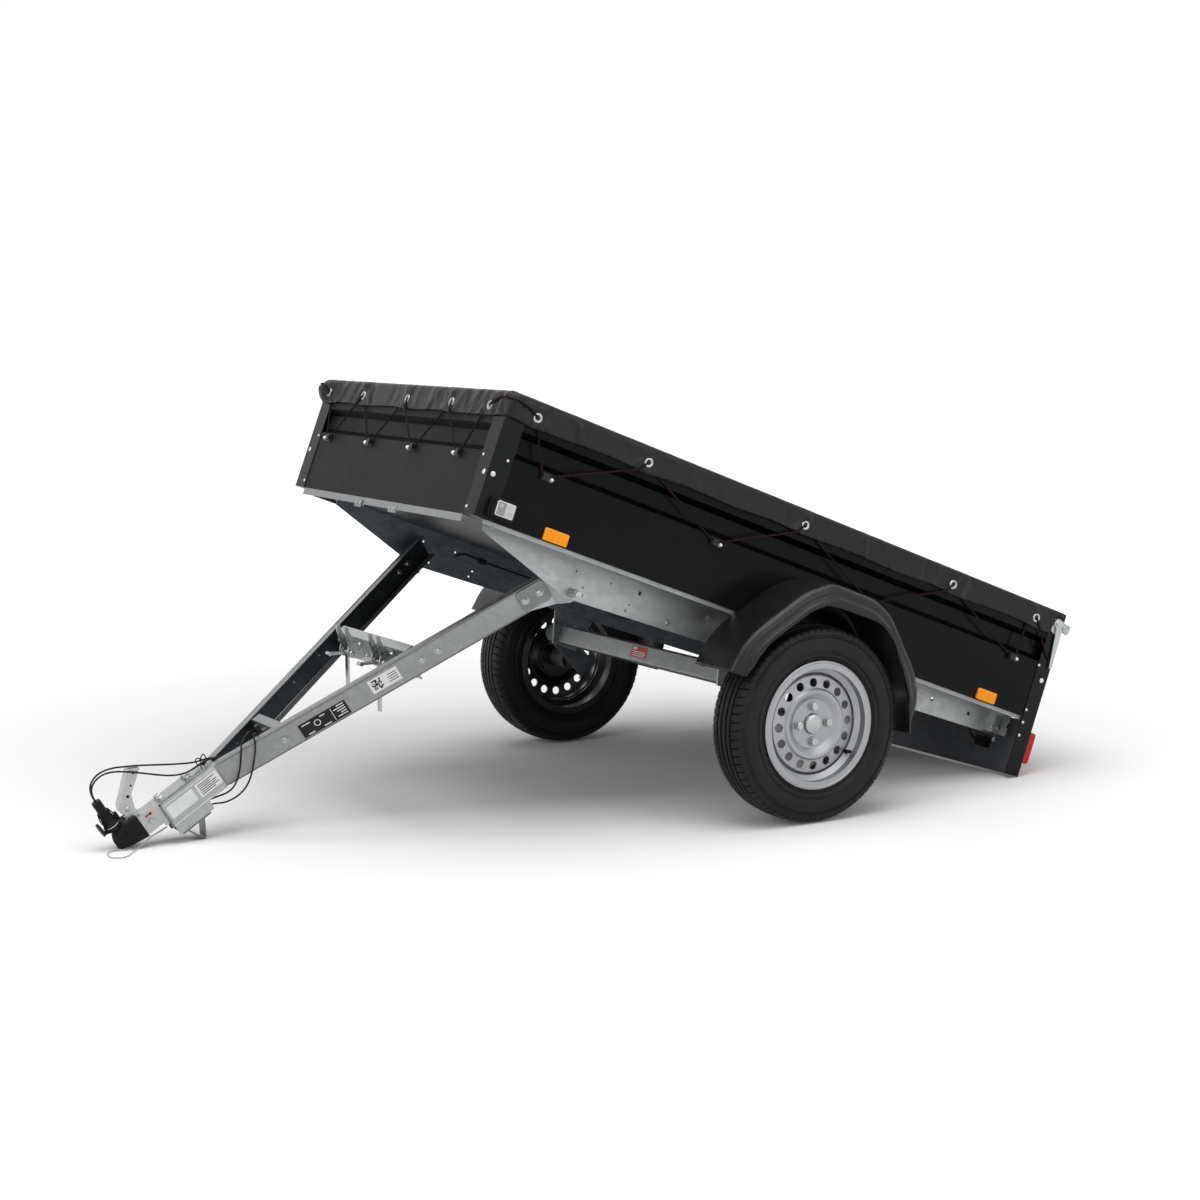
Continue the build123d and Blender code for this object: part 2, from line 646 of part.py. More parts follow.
# ---- axle ----------------------------------------------------------------------------------
axle_bore = AXLE_TUBE - 2 * AXLE_TUBE_WALL
with BuildPart() as axle_tube:
    with BuildSketch(Plane.XZ):
        with Locations((AXLE_AHEAD, AXLE_RISE)):
            RectangleRounded(AXLE_TUBE, AXLE_TUBE, AXLE_TUBE_ROUND)
            RectangleRounded(axle_bore, axle_bore, AXLE_TUBE_ROUND - AXLE_TUBE_WALL, mode=Mode.SUBTRACT)
    extrude(amount=axle_half, both=True)
keep(axle_tube.part, "axle_tube", bed_place)

arm_plane = axle_half + SEAT
with BuildPart() as axle_arm:
    with BuildSketch(Plane.XZ.offset(-arm_plane)):
        with Locations((0, 0)):
            Circle(AXLE_ARM_RADIUS)
        with Locations((AXLE_AHEAD, AXLE_RISE)):
            Circle(AXLE_ARM_RADIUS)
        make_hull()
    extrude(amount=-AXLE_ARM_SHEET)
    with BuildSketch(Plane.XZ.offset(-arm_plane - AXLE_ARM_SHEET)):
        Circle(STUB_RADIUS)
    extrude(amount=-(wheel_plane + DISC_OFFSET - STUB_MARGIN - arm_plane - AXLE_ARM_SHEET))
    with BuildSketch(Plane.XZ.offset(-arm_plane)):
        with Locations((AXLE_AHEAD, AXLE_RISE)):
            Circle(AXLE_CORE_RADIUS)
    extrude(amount=AXLE_CORE_LENGTH)
keep_pair(axle_arm.part, "axle_arm", bed_place)

bracket_inner = rail_face + SEAT
with BuildPart() as axle_bracket:
    with BuildSketch(Plane.XZ.offset(-bracket_inner)):
        with BuildLine():
            Polyline(
                (AXLE_AHEAD - BRACKET_HALF_TOP, BRACKET_TOP),
                (AXLE_AHEAD + BRACKET_HALF_TOP, BRACKET_TOP),
                (AXLE_AHEAD + BRACKET_HALF_FOOT, AXLE_RISE - AXLE_TUBE / 2 - BRACKET_EDGE),
                (AXLE_AHEAD - BRACKET_HALF_FOOT, AXLE_RISE - AXLE_TUBE / 2 - BRACKET_EDGE),
                close=True,
            )
        make_face()
        with Locations((AXLE_AHEAD, AXLE_RISE)):
            RectangleRounded(AXLE_TUBE + 2 * SEAT, AXLE_TUBE + 2 * SEAT, AXLE_TUBE_ROUND, mode=Mode.SUBTRACT)
    extrude(amount=-BRACKET_SHEET)
keep_pair(axle_bracket.part, "axle_bracket", bed_place)

# ---- mudguards -----------------------------------------------------------------------------
guard_line = [(-GUARD_REAR, GUARD_LOW)] + GUARD_OUTLINE + [(GUARD_FRONT, GUARD_LOW)]
guard_depth = guard_outer - guard_inner
with BuildPart() as guard_core:
    with BuildSketch(Plane.XZ.offset(-guard_inner - GUARD_SHEET)):
        with BuildLine():
            core_line = FilletPolyline(*guard_line, radius=GUARD_ROUND)
            Line(core_line @ 1, core_line @ 0)
        make_face()
        offset(amount=-GUARD_SHEET)
    extrude(amount=-(guard_depth - 2 * GUARD_SHEET))
    outer_edges = faces().sort_by(Axis.Y)[-1].edges().sort_by(Axis.Z)[1:]
    fillet(outer_edges, GUARD_EDGE - GUARD_SHEET)

with BuildPart() as mudguard:
    with BuildSketch(Plane.XZ.offset(-guard_inner)):
        with BuildLine():
            rim_line = FilletPolyline(*guard_line, radius=GUARD_ROUND)
            Line(rim_line @ 1, rim_line @ 0)
        make_face()
    extrude(amount=-guard_depth)
    outer_edges = faces().sort_by(Axis.Y)[-1].edges().sort_by(Axis.Z)[1:]
    fillet(outer_edges, GUARD_EDGE)
    add(guard_core.part, mode=Mode.SUBTRACT)
    with BuildSketch(Plane.XY.offset(GUARD_LOW)):
        with Locations(((GUARD_FRONT - GUARD_REAR) / 2, (guard_inner + guard_outer) / 2)):
            Rectangle(GUARD_FRONT + GUARD_REAR - 2 * GUARD_EDGE, guard_depth - 2 * GUARD_EDGE)
    extrude(amount=2 * GUARD_SHEET, mode=Mode.SUBTRACT)
    with BuildSketch(Plane.XZ.offset(-guard_inner)):
        with BuildLine():
            arch = FilletPolyline(*GUARD_OPENING, radius=GUARD_ROUND)
            Line(arch @ 1, arch @ 0)
        make_face()
    extrude(amount=-guard_depth, mode=Mode.SUBTRACT)
keep_pair(mudguard.part, "mudguard", bed_place)

# ---- wheels --------------------------------------------------------------------------------
def wheel_place(side):
    """Place a wheel that is modelled about its own centre with its outer face towards +Y."""
    turn = 0 if side > 0 else 180
    return Location((0, 0, TYRE_RADIUS)) * Location((0, side * wheel_plane, 0), (0, 0, turn))


tread_half = TREAD_WIDTH / 2
tyre_half = TYRE_WIDTH / 2
shoulder_radius = TYRE_RADIUS - TREAD_DROP
bead_radius = RIM_SEAT_RADIUS + SEAT
bead_half = RIM_WIDTH / 2 - WHEEL_SHEET - SEAT
with BuildPart() as tyre:
    with BuildSketch(Plane.XY):
        with BuildLine():
            heel = Line((bead_radius, bead_half), (RIM_FLANGE_RADIUS + BEAD_LIP, bead_half))
            wall = Spline(
                heel @ 1,
                (TYRE_RADIUS - LOWER_DEPTH, tyre_half - WALL_CURVE[0]),
                (TYRE_RADIUS - WIDEST_DEPTH, tyre_half),
                (TYRE_RADIUS - SHOULDER_DEPTH, tyre_half - WALL_CURVE[1]),
                (shoulder_radius, tread_half),
            )
            ThreePointArc(wall @ 1, (TYRE_RADIUS, 0), (shoulder_radius, -tread_half))
            other_wall = Spline(
                (shoulder_radius, -tread_half),
                (TYRE_RADIUS - SHOULDER_DEPTH, -tyre_half + WALL_CURVE[1]),
                (TYRE_RADIUS - WIDEST_DEPTH, -tyre_half),
                (TYRE_RADIUS - LOWER_DEPTH, -tyre_half + WALL_CURVE[0]),
                (RIM_FLANGE_RADIUS + BEAD_LIP, -bead_half),
            )
            Polyline(
                other_wall @ 1,
                (bead_radius, -bead_half),
                (bead_radius, -bead_half + BEAD_WIDTH),
                (RIM_FLANGE_RADIUS + BEAD_RISE, -bead_half + SIDE_WALL),
                (TYRE_RADIUS - WIDEST_DEPTH, -tyre_half + SIDE_WALL),
                (TYRE_RADIUS - SHOULDER_THICKNESS, -tread_half + SHOULDER_INSET),
                (TYRE_RADIUS - TREAD_THICKNESS, 0),
                (TYRE_RADIUS - SHOULDER_THICKNESS, tread_half - SHOULDER_INSET),
                (TYRE_RADIUS - WIDEST_DEPTH, tyre_half - SIDE_WALL),
                (RIM_FLANGE_RADIUS + BEAD_RISE, bead_half - SIDE_WALL),
                (bead_radius, bead_half - BEAD_WIDTH),
                heel @ 0,
            )
        make_face()
    revolve(axis=Axis.Y)

rim_half = (RIM_WIDTH - WHEEL_SHEET) / 2
seat_line = RIM_SEAT_RADIUS - WHEEL_SHEET / 2
disc_line = DISC_OFFSET + WHEEL_SHEET / 2
vent_radius = VENT_CIRCLE / 2
with BuildPart() as rim:
    with BuildSketch(Plane.XY):
        with BuildLine():
            Polyline(
                (RIM_FLANGE_RADIUS, rim_half),
                (seat_line, rim_half),
                (seat_line, RIM_WELL_OUTER[0]),
                (RIM_WELL_RADIUS, RIM_WELL_OUTER[1]),
                (RIM_WELL_RADIUS, RIM_WELL_INNER[0]),
                (seat_line, RIM_WELL_INNER[1]),
                (seat_line, -rim_half),
                (RIM_FLANGE_RADIUS, -rim_half),
            )
        trace(line_width=WHEEL_SHEET)
        with BuildLine():
            Polyline(
                (RIM_WELL_RADIUS - WHEEL_SHEET, DISC_SKIRT[0]),
                (RIM_WELL_RADIUS - WHEEL_SHEET, DISC_SKIRT[1]),
                *DISC_OUTLINE,
                (DISC_FOOT, disc_line),
                (CAP_RADIUS, disc_line),
            )
        trace(line_width=WHEEL_SHEET)
    revolve(axis=Axis.Y)
    with BuildSketch(Plane.XZ.offset(-VENT_CUT)):
        with PolarLocations(vent_radius, VENTS):
            Circle(VENT_RADIUS)
        with PolarLocations(BOLT_CIRCLE / 2, WHEEL_BOLTS):
            Circle(BOLT_HOLE_RADIUS)
    extrude(amount=VENT_CUT, mode=Mode.SUBTRACT)

with BuildPart() as hub:
    with BuildSketch(Plane.XZ.offset(HUB_INBOARD)):
        Circle(HUB_RADIUS)
    extrude(amount=-(HUB_INBOARD + DISC_OFFSET - SEAT))
    with BuildSketch(Plane.XZ.offset(-DISC_OFFSET + SEAT)):
        Circle(HUB_FLANGE_RADIUS)
    extrude(amount=HUB_FLANGE)
    with BuildSketch(Plane.XZ.offset(-DISC_OFFSET + SEAT)):
        Circle(CAP_RADIUS - 2 * SEAT - WHEEL_SHEET / 2)
    extrude(amount=-CAP_HEIGHT)
    fillet(faces().sort_by(Axis.Y)[-1].edges(), CAP_ROUND)
    with BuildSketch(Plane.XZ.offset(-DISC_OFFSET + SEAT)):
        with PolarLocations(BOLT_CIRCLE / 2, WHEEL_BOLTS):
            Circle(WHEEL_BOLT_RADIUS)
    extrude(amount=-(WHEEL_SHEET + BOLT_HEAD))
    with BuildSketch(Plane.XZ.offset(-DISC_OFFSET - WHEEL_SHEET - SEAT)):
        with PolarLocations(BOLT_CIRCLE / 2, WHEEL_BOLTS):
            RegularPolygon(BOLT_HEAD_RADIUS, 6)
    extrude(amount=-BOLT_HEAD)
    with BuildSketch(Plane.XZ.offset(HUB_INBOARD)):
        Circle(STUB_RADIUS + RUNNING)
    extrude(amount=-(HUB_INBOARD + DISC_OFFSET - STUB_BORE_END), mode=Mode.SUBTRACT)

for side, sign in (("left", 1), ("right", -1)):
    keep(tyre.part, "tyre_" + side, wheel_place(sign))
    keep(rim.part, "rim_" + side, wheel_place(sign))
    keep(hub.part, "hub_" + side, wheel_place(sign))

# ---- tailgate ------------------------------------------------------------------------------
gate_half = wall_face - GATE_SIDE_GAP
gate_flange = JAMB_SETBACK - GATE_INSET - GATE_SIDE_GAP
hinge_u = gate_face + HINGE_PIN_RADIUS
hinge_w = GATE_BOTTOM - HINGE_DROP - HINGE_PIN_RADIUS
knuckle_radius = HINGE_PIN_RADIUS + RUNNING + HINGE_WALL
with BuildPart() as tailgate:
    with BuildSketch(Plane.XZ):
        with BuildLine():
            Polyline(wall_section(gate_face, 1, GATE_BOTTOM, GATE_TOP, gate_flange))
        trace(line_width=SHEET)
    extrude(amount=gate_half, both=True)
    for y in (HINGE_SPREAD, -HINGE_SPREAD):
        with BuildSketch(Plane.XZ.offset(-y)):
            with Locations((hinge_u, hinge_w)):
                Circle(knuckle_radius)
            with Locations((hinge_u, (hinge_w + GATE_BOTTOM + SHEET) / 2)):
                Rectangle(2 * HINGE_WALL, GATE_BOTTOM + SHEET - hinge_w)
            with Locations((hinge_u, hinge_w)):
                Circle(HINGE_PIN_RADIUS + RUNNING, mode=Mode.SUBTRACT)
        extrude(amount=HINGE_LENGTH / 2, both=True)
keep(tailgate.part, "tailgate", bed_place)

board_top = board_high + POST_SHEET / 2
with BuildPart() as tailgate_hinges:
    for y in (HINGE_SPREAD, -HINGE_SPREAD):
        with BuildSketch(Plane.XZ.offset(-y)):
            with Locations((hinge_u, hinge_w)):
                Circle(HINGE_PIN_RADIUS)
        extrude(amount=HINGE_LENGTH / 2 + SEAT + HINGE_LUG, both=True)
        for end in (1, -1):
            with BuildSketch(Plane.XZ.offset(-y - end * (HINGE_LENGTH / 2 + SEAT))):
                with Locations((hinge_u, hinge_w)):
                    Circle(knuckle_radius)
                with Locations((hinge_u, (hinge_w + board_top + SEAT) / 2)):
                    Rectangle(2 * knuckle_radius, hinge_w - board_top - SEAT)
            extrude(amount=-end * HINGE_LUG)
keep(tailgate_hinges.part, "tailgate_hinges", bed_place)

# ---- tailgate latches: plate on the post, lever and stud on the tailgate ---------------------
stud_u = -BED_REAR - GATE_SIDE_GAP - STUD_RADIUS
stud_height = WALL_TOP - STUD_DROP
lever_plane = half_width + SEAT + LATCH_PLATE + SEAT
with BuildPart() as latch_plates:
    for sign in (1, -1):
        with BuildSketch(Plane.XZ.offset(-sign * (half_width + SEAT))):
            with Locations((-BED_REAR + LATCH_PLATE_AHEAD, stud_height)):
                Circle(LATCH_PLATE_RADIUS)
        extrude(amount=-sign * LATCH_PLATE)
keep(latch_plates.part, "latch_plates", bed_place)

with BuildPart() as gate_latch:
    with BuildSketch(Plane.XZ.offset(-gate_half + STUD_BAR_INSET)):
        with Locations((stud_u, stud_height)):
            Circle(STUD_RADIUS)
    extrude(amount=-(lever_plane + LEVER_SHEET + STUD_END - gate_half + STUD_BAR_INSET))
    with BuildSketch(Plane.XZ.offset(-gate_half + STUD_BLOCK_INSET)):
        with Locations(((stud_u + gate_face - SEAT) / 2, stud_height)):
            Rectangle(gate_face - SEAT - stud_u, 2 * STUD_RADIUS)
    extrude(amount=-STUD_BLOCK)
    with BuildSketch(Plane.XZ.offset(-lever_plane)):
        with BuildSketch(mode=Mode.PRIVATE) as lever_head:
            with Locations((-BED_REAR + LEVER_PIVOT[0], stud_height + LEVER_PIVOT[1])):
                Circle(LEVER_HEAD_RADIUS)
            with Locations((stud_u, stud_height)):
                Circle(LEVER_HEAD_RADIUS)
            make_hull()
        add(lever_head.sketch)
        with BuildLine():
            Polyline(*[(-BED_REAR + ahead, stud_height + up) for ahead, up in LEVER_HANDLE], close=True)
        make_face()
    extrude(amount=-LEVER_SHEET)
keep_pair(gate_latch.part, "gate_latch", bed_place)

# ---- cover ---------------------------------------------------------------------------------
cover_top = WALL_TOP + SEAT + COVER_SHEET
cover_rear = -BED_REAR - SEAT - COVER_SHEET
cover_corner_top = stud_height + LATCH_PLATE_RADIUS + COVER_CORNER_GAP
with BuildPart() as cover:
    with BuildSketch(Plane.XY.offset(COVER_HEM)):
        with Locations(((BED_FRONT + SEAT + COVER_SHEET + cover_rear) / 2, 0)):
            Rectangle(BED_FRONT + SEAT + COVER_SHEET - cover_rear, BED_WIDTH + 2 * SEAT + 2 * COVER_SHEET)
    extrude(amount=cover_top - COVER_HEM)
    with BuildSketch(Plane.XY.offset(COVER_HEM)):
        with Locations(((BED_FRONT + SEAT + cover_rear - COVER_SHEET) / 2, 0)):
            Rectangle(BED_FRONT + SEAT + COVER_SHEET - cover_rear, BED_WIDTH + 2 * SEAT)
    extrude(amount=cover_top - COVER_HEM - COVER_SHEET, mode=Mode.SUBTRACT)
    with BuildSketch(Plane.XY.offset(COVER_HEM)):
        with Locations((cover_rear, 0)):
            Rectangle(2 * COVER_CORNER_LENGTH, BED_WIDTH + 4 * COVER_SHEET)
    extrude(amount=cover_corner_top - COVER_HEM, mode=Mode.SUBTRACT)
keep(cover.part, "cover", bed_place)

flap_half = gate_half - FLAP_INSET
with BuildPart() as cover_rear_flap:
    with BuildSketch(Plane.YZ.offset(cover_rear)):
        with Locations((0, (COVER_HEM + WALL_TOP) / 2)):
            Rectangle(2 * flap_half, WALL_TOP - COVER_HEM)
    extrude(amount=COVER_SHEET)
keep(cover_rear_flap.part, "cover_rear_flap", bed_place)

# ---- drawbar arms --------------------------------------------------------------------------
with BuildPart() as drawbar_arm:
    with BuildLine():
        arm_path = Polyline(
            (ARM_START, arm_spread - arm_slope * ARM_START, 0),
            (ARM_STRAIGHT, ARM_INNER, 0),
            (ARM_END, ARM_INNER, 0),
        )
    with BuildSketch(Plane(origin=arm_path @ 0, x_dir=(0, 0, 1), z_dir=arm_path % 0)):
        with BuildLine():
            Polyline(
                (0, 0),
                (ARM_HEIGHT, 0),
                (ARM_HEIGHT, ARM_FLANGE),
                (ARM_HEIGHT - ARM_SHEET, ARM_FLANGE),
                (ARM_HEIGHT - ARM_SHEET, ARM_SHEET),
                (ARM_SHEET, ARM_SHEET),
                (ARM_SHEET, ARM_FLANGE),
                (0, ARM_FLANGE),
                close=True,
            )
        make_face()
    sweep(transition=Transition.RIGHT)
keep_pair(drawbar_arm.part, "drawbar_arm", drawbar_place)

# ---- pivot plates, with the tipping pin ----------------------------------------------------
plate_mid = plate_outer - PLATE_SHEET / 2
arm_gap_line = arm_spread + SEAT + PLATE_SHEET / 2 / cos(arm_angle)
jog_end = PLATE_FLAT + PLATE_JOG_RUN
with BuildPart() as pivot_plate:
    with BuildSketch(Plane.XY.offset(-PLATE_ROUND)):
        with BuildLine():
            Polyline(
                (-PLATE_ROUND, plate_mid),
                (PLATE_FLAT, plate_mid),
                (jog_end, arm_gap_line - arm_slope * jog_end),
                (PLATE_END, arm_gap_line - arm_slope * PLATE_END),
            )
        trace(line_width=PLATE_SHEET)
    extrude(amount=ARM_HEIGHT + PLATE_ROUND)
    with BuildSketch(Plane.XZ.offset(-plate_outer)):
        Circle(PLATE_ROUND)
        with Locations(((jog_end + PLATE_END) / 2, ARM_HEIGHT / 2)):
            RectangleRounded(PLATE_END - jog_end, ARM_HEIGHT - 2 * PLATE_MARGIN, PLATE_CORNER)
        make_hull()
    extrude(amount=arm_spread, mode=Mode.INTERSECT)
    with BuildSketch(Plane.XZ.offset(-plate_mid)):
        Circle(PIN_RADIUS)
    extrude(amount=-(rail_face + PIN_STAND_OUT - plate_mid))
    with BuildSketch(Plane.XZ.offset(-rail_face - 2 * SEAT)):
        RegularPolygon(PIN_HEAD_RADIUS, 6)
    extrude(amount=-PIN_HEAD)
keep_pair(pivot_plate.part, "pivot_plate", drawbar_place)

# ---- latch beam and tip latches ------------------------------------------------------------
beam_mid = LATCH_BEAM_AT - LATCH_BEAM_SHEET / 2
beam_half = arm_spread - ARM_SHEET / cos(arm_angle) - arm_slope * LATCH_BEAM_AT - SEAT
with BuildPart() as latch_beam:
    with BuildSketch(Plane.XZ):
        with BuildLine():
            Polyline(
                (LATCH_BEAM_AT - LATCH_BEAM_FLANGE, BEAM_TOP - LATCH_BEAM_SHEET / 2),
                (beam_mid, BEAM_TOP - LATCH_BEAM_SHEET / 2),
                (beam_mid, BEAM_BOTTOM),
            )
        trace(line_width=LATCH_BEAM_SHEET)
    extrude(amount=beam_half, both=True)
    with BuildSketch(Plane.YZ.offset(LATCH_BEAM_AT - LATCH_BEAM_SHEET)):
        for y in (beam_half, -beam_half):
            with Locations((y, ARM_HEIGHT - ARM_SHEET / 2)):
                Rectangle(2 * (ARM_FLANGE + BEAM_CLEARANCE), ARM_SHEET + 2 * BEAM_CLEARANCE)
            with Locations((y, ARM_SHEET / 2)):
                Rectangle(2 * (ARM_FLANGE + BEAM_CLEARANCE), ARM_SHEET + 2 * BEAM_CLEARANCE)
            with Locations((y, BEAM_BOTTOM / 2)):
                Rectangle(2 * (ARM_FLANGE + BEAM_CLEARANCE), -BEAM_BOTTOM)
    extrude(amount=LATCH_BEAM_SHEET, mode=Mode.SUBTRACT)
    with BuildSketch(Plane.XY.offset(BEAM_TOP - LATCH_BEAM_SHEET)):
        for y in (beam_half, -beam_half):
            with Locations((LATCH_BEAM_AT - LATCH_BEAM_FLANGE / 2, y)):
                Rectangle(LATCH_BEAM_FLANGE + 2 * SEAT, 2 * (ARM_FLANGE + BEAM_TOP_CLEARANCE))
    extrude(amount=LATCH_BEAM_SHEET, mode=Mode.SUBTRACT)
keep(latch_beam.part, "latch_beam", drawbar_place)

latch_base = LATCH_BEAM_AT + SEAT
pivot_at = latch_base + LATCH_PIVOT_AHEAD
level_way = (cos(drawbar_dip), sin(drawbar_dip))
down_way = (sin(drawbar_dip), -cos(drawbar_dip))
strip_end = (pivot_at + LATCH_REACH * level_way[0], LATCH_PIVOT_LEVEL + LATCH_REACH * level_way[1])
bar_end = (pivot_at + LATCH_DROP * down_way[0], LATCH_PIVOT_LEVEL + LATCH_DROP * down_way[1])
for side, centre in (("left", LATCH_SPREAD), ("right", -LATCH_SPREAD)):
    with BuildPart() as tip_latch:
        with BuildSketch(Plane.YZ.offset(latch_base)):
            with Locations((centre, LATCH_BASE_HEIGHT / 2)):
                Rectangle(LATCH_BASE_WIDTH, LATCH_BASE_HEIGHT)
        extrude(amount=LATCH_BASE_SHEET)
        for hook in (-LATCH_HOOK_SPREAD, LATCH_HOOK_SPREAD):
            with BuildSketch(Plane.XZ.offset(-centre - hook)):
                with BuildLine():
                    Polyline(*[(latch_base + ahead, level) for ahead, level in LATCH_HOOK], close=True)
                make_face()
            extrude(amount=LATCH_HOOK_SHEET / 2, both=True)
        with BuildSketch(Plane.XZ.offset(-centre)):
            with Locations((pivot_at, LATCH_PIVOT_LEVEL)):
                Circle(LATCH_PIVOT_RADIUS)
        extrude(amount=LATCH_HOOK_SPREAD + LATCH_HOOK_SHEET, both=True)
        with BuildSketch(Plane.XZ.offset(-centre)):
            with BuildLine():
                Line((pivot_at, LATCH_PIVOT_LEVEL), strip_end)
            trace(line_width=LATCH_HOOK_SHEET)
            with Locations(strip_end):
                Circle(LATCH_HOOK_SHEET)
        extrude(amount=LATCH_LEVER_WIDTH / 2, both=True)
        with BuildSketch(Plane.XZ.offset(-centre)):
            with BuildLine():
                Line((pivot_at, LATCH_PIVOT_LEVEL), bar_end)
            trace(line_width=LATCH_HOOK_SHEET)
        extrude(amount=LATCH_BAR_WIDTH / 2, both=True)
    keep(tip_latch.part, "tip_latch_" + side, drawbar_place)

# ---- cross brace between the arms, with the cable clips --------------------------------------
brace_half = arm_spread - arm_slope * (BRACE_AT + BRACE_SHEET) - ARM_SHEET / cos(arm_angle) - SEAT
brace_front = BRACE_AT + BRACE_SHEET
brace_low = ARM_SHEET + SEAT
brace_high = ARM_HEIGHT - ARM_SHEET - SEAT
with BuildPart() as cross_brace:
    with BuildSketch(Plane.YZ.offset(BRACE_AT)):
        with Locations((0, (brace_low + brace_high) / 2)):
            Rectangle(2 * brace_half, brace_high - brace_low)
    extrude(amount=BRACE_SHEET)
    with BuildSketch(Plane.XY.offset(brace_high - BRACE_SHEET)):
        with Locations((BRACE_AT - BRACE_FLANGE / 2, 0)):
            Rectangle(BRACE_FLANGE, 2 * (brace_half - ARM_FLANGE))
    extrude(amount=BRACE_SHEET)
    with BuildSketch(Plane.YZ.offset(brace_front)):
        with Locations((0, CLIP_LEVEL), (-LOOP_CLIP_AT, CLIP_LEVEL), (LOOP_CLIP_AT, CLIP_LEVEL)):
            Rectangle(CLIP_WIDTH, CLIP_HEIGHT)
    extrude(amount=CLIP_DEPTH)
keep(cross_brace.part, "cross_brace", drawbar_place)

# ---- coupling ------------------------------------------------------------------------------
channel_half = ARM_INNER + SEAT + CHANNEL_SHEET
with BuildPart() as coupling_channel:
    with BuildSketch(Plane.YZ.offset(CHANNEL_START)):
        with BuildLine():
            Polyline(
                (channel_half - CHANNEL_SHEET / 2, CHANNEL_BOTTOM),
                (channel_half - CHANNEL_SHEET / 2, ARM_HEIGHT + SEAT + CHANNEL_SHEET / 2),
                (-channel_half + CHANNEL_SHEET / 2, ARM_HEIGHT + SEAT + CHANNEL_SHEET / 2),
                (-channel_half + CHANNEL_SHEET / 2, CHANNEL_BOTTOM),
            )
        trace(line_width=CHANNEL_SHEET)
    extrude(amount=CHANNEL_END - CHANNEL_START)
    with BuildSketch(Plane.XZ):
        with Locations((CHANNEL_START, ARM_HEIGHT / 2)):
            Rectangle(2 * (ARM_STRAIGHT - CHANNEL_START), ARM_HEIGHT + 2 * SEAT)
        with Locations((CHANNEL_START, CHANNEL_BOTTOM)):
            Rectangle(2 * (SKIRT_START - CHANNEL_START), -2 * CHANNEL_BOTTOM)
    extrude(amount=channel_half + SEAT, both=True, mode=Mode.SUBTRACT)
keep(coupling_channel.part, "coupling_channel", drawbar_place)

head_base = ARM_HEIGHT + 2 * SEAT + CHANNEL_SHEET
head_top = head_base + CHANNEL_SHEET
cup_radius = BALL_RADIUS + HEAD_WALL
cover_radius = cup_radius + SEAT + RUBBER
nose_at = BALL_AT + cover_radius
mouth_level = (nose_at * sin(drawbar_dip) - pin_z) / cos(drawbar_dip) + NOSE_GAP
head_rear = CHANNEL_END + HEAD_GAP


def cup_section(radius, low):
    """Half section of the ball cup, or of a shell round it, about the axis of the ball."""
    side = Line((BALL_AT + radius, low), (BALL_AT + radius, BALL_LEVEL - CUP_SHOULDER))
    crown = Line((BALL_AT + CUP_CROWN, BALL_LEVEL + radius), (BALL_AT, BALL_LEVEL + radius))
    TangentArc(side @ 1, crown @ 0, tangent=(0, 1))
    Polyline(crown @ 1, (BALL_AT, low), side @ 0)


with BuildPart() as coupling_head:
    with BuildSketch(Plane.XZ):
        with BuildLine():
            Polyline(
                (CHANNEL_START + HEAD_TAIL, head_base),
                (head_rear, head_base),
                (head_rear, HEAD_LOW),
                (COVER_START - HEAD_GAP, HEAD_LOW),
                (COVER_START + HEAD_GAP, mouth_level),
                (BALL_AT, mouth_level),
                (BALL_AT, BALL_LEVEL + cup_radius),
                (BALL_AT - HEAD_SLOPE, head_top),
                (CHANNEL_START + HEAD_TAIL, head_top),
                close=True,
            )
        make_face()
    extrude(amount=HEAD_WIDTH / 2, both=True)
    with BuildSketch(Plane.XZ):
        with BuildLine():
            cup_section(cup_radius, mouth_level)
        make_face()
    revolve(axis=Axis((BALL_AT, 0, 0), (0, 0, 1)))
    with BuildSketch(Plane.XY.offset(head_base)):
        with Locations((LEVER_AT, 0)):
            Rectangle(LEVER_SEAT_LENGTH, LEVER_WIDTH)
    extrude(amount=LEVER_SEAT - head_base)
    with BuildSketch(Plane.XY.offset(HEAD_LOW)):
        with Locations((head_rear + WIRE_EYE / 2, WIRE_EYE_AT)):
            Rectangle(WIRE_EYE, WIRE_EYE)
    extrude(amount=-WIRE_EYE)
    with BuildSketch(Plane.XY.offset(BALL_LEVEL)):
        with Locations((BALL_AT, 0)):
            Circle(BALL_RADIUS)
    extrude(amount=-BALL_LEVEL, mode=Mode.SUBTRACT)
    with Locations((BALL_AT, 0, BALL_LEVEL)):
        Sphere(BALL_RADIUS, mode=Mode.SUBTRACT)
keep(coupling_head.part, "coupling_head", drawbar_place)

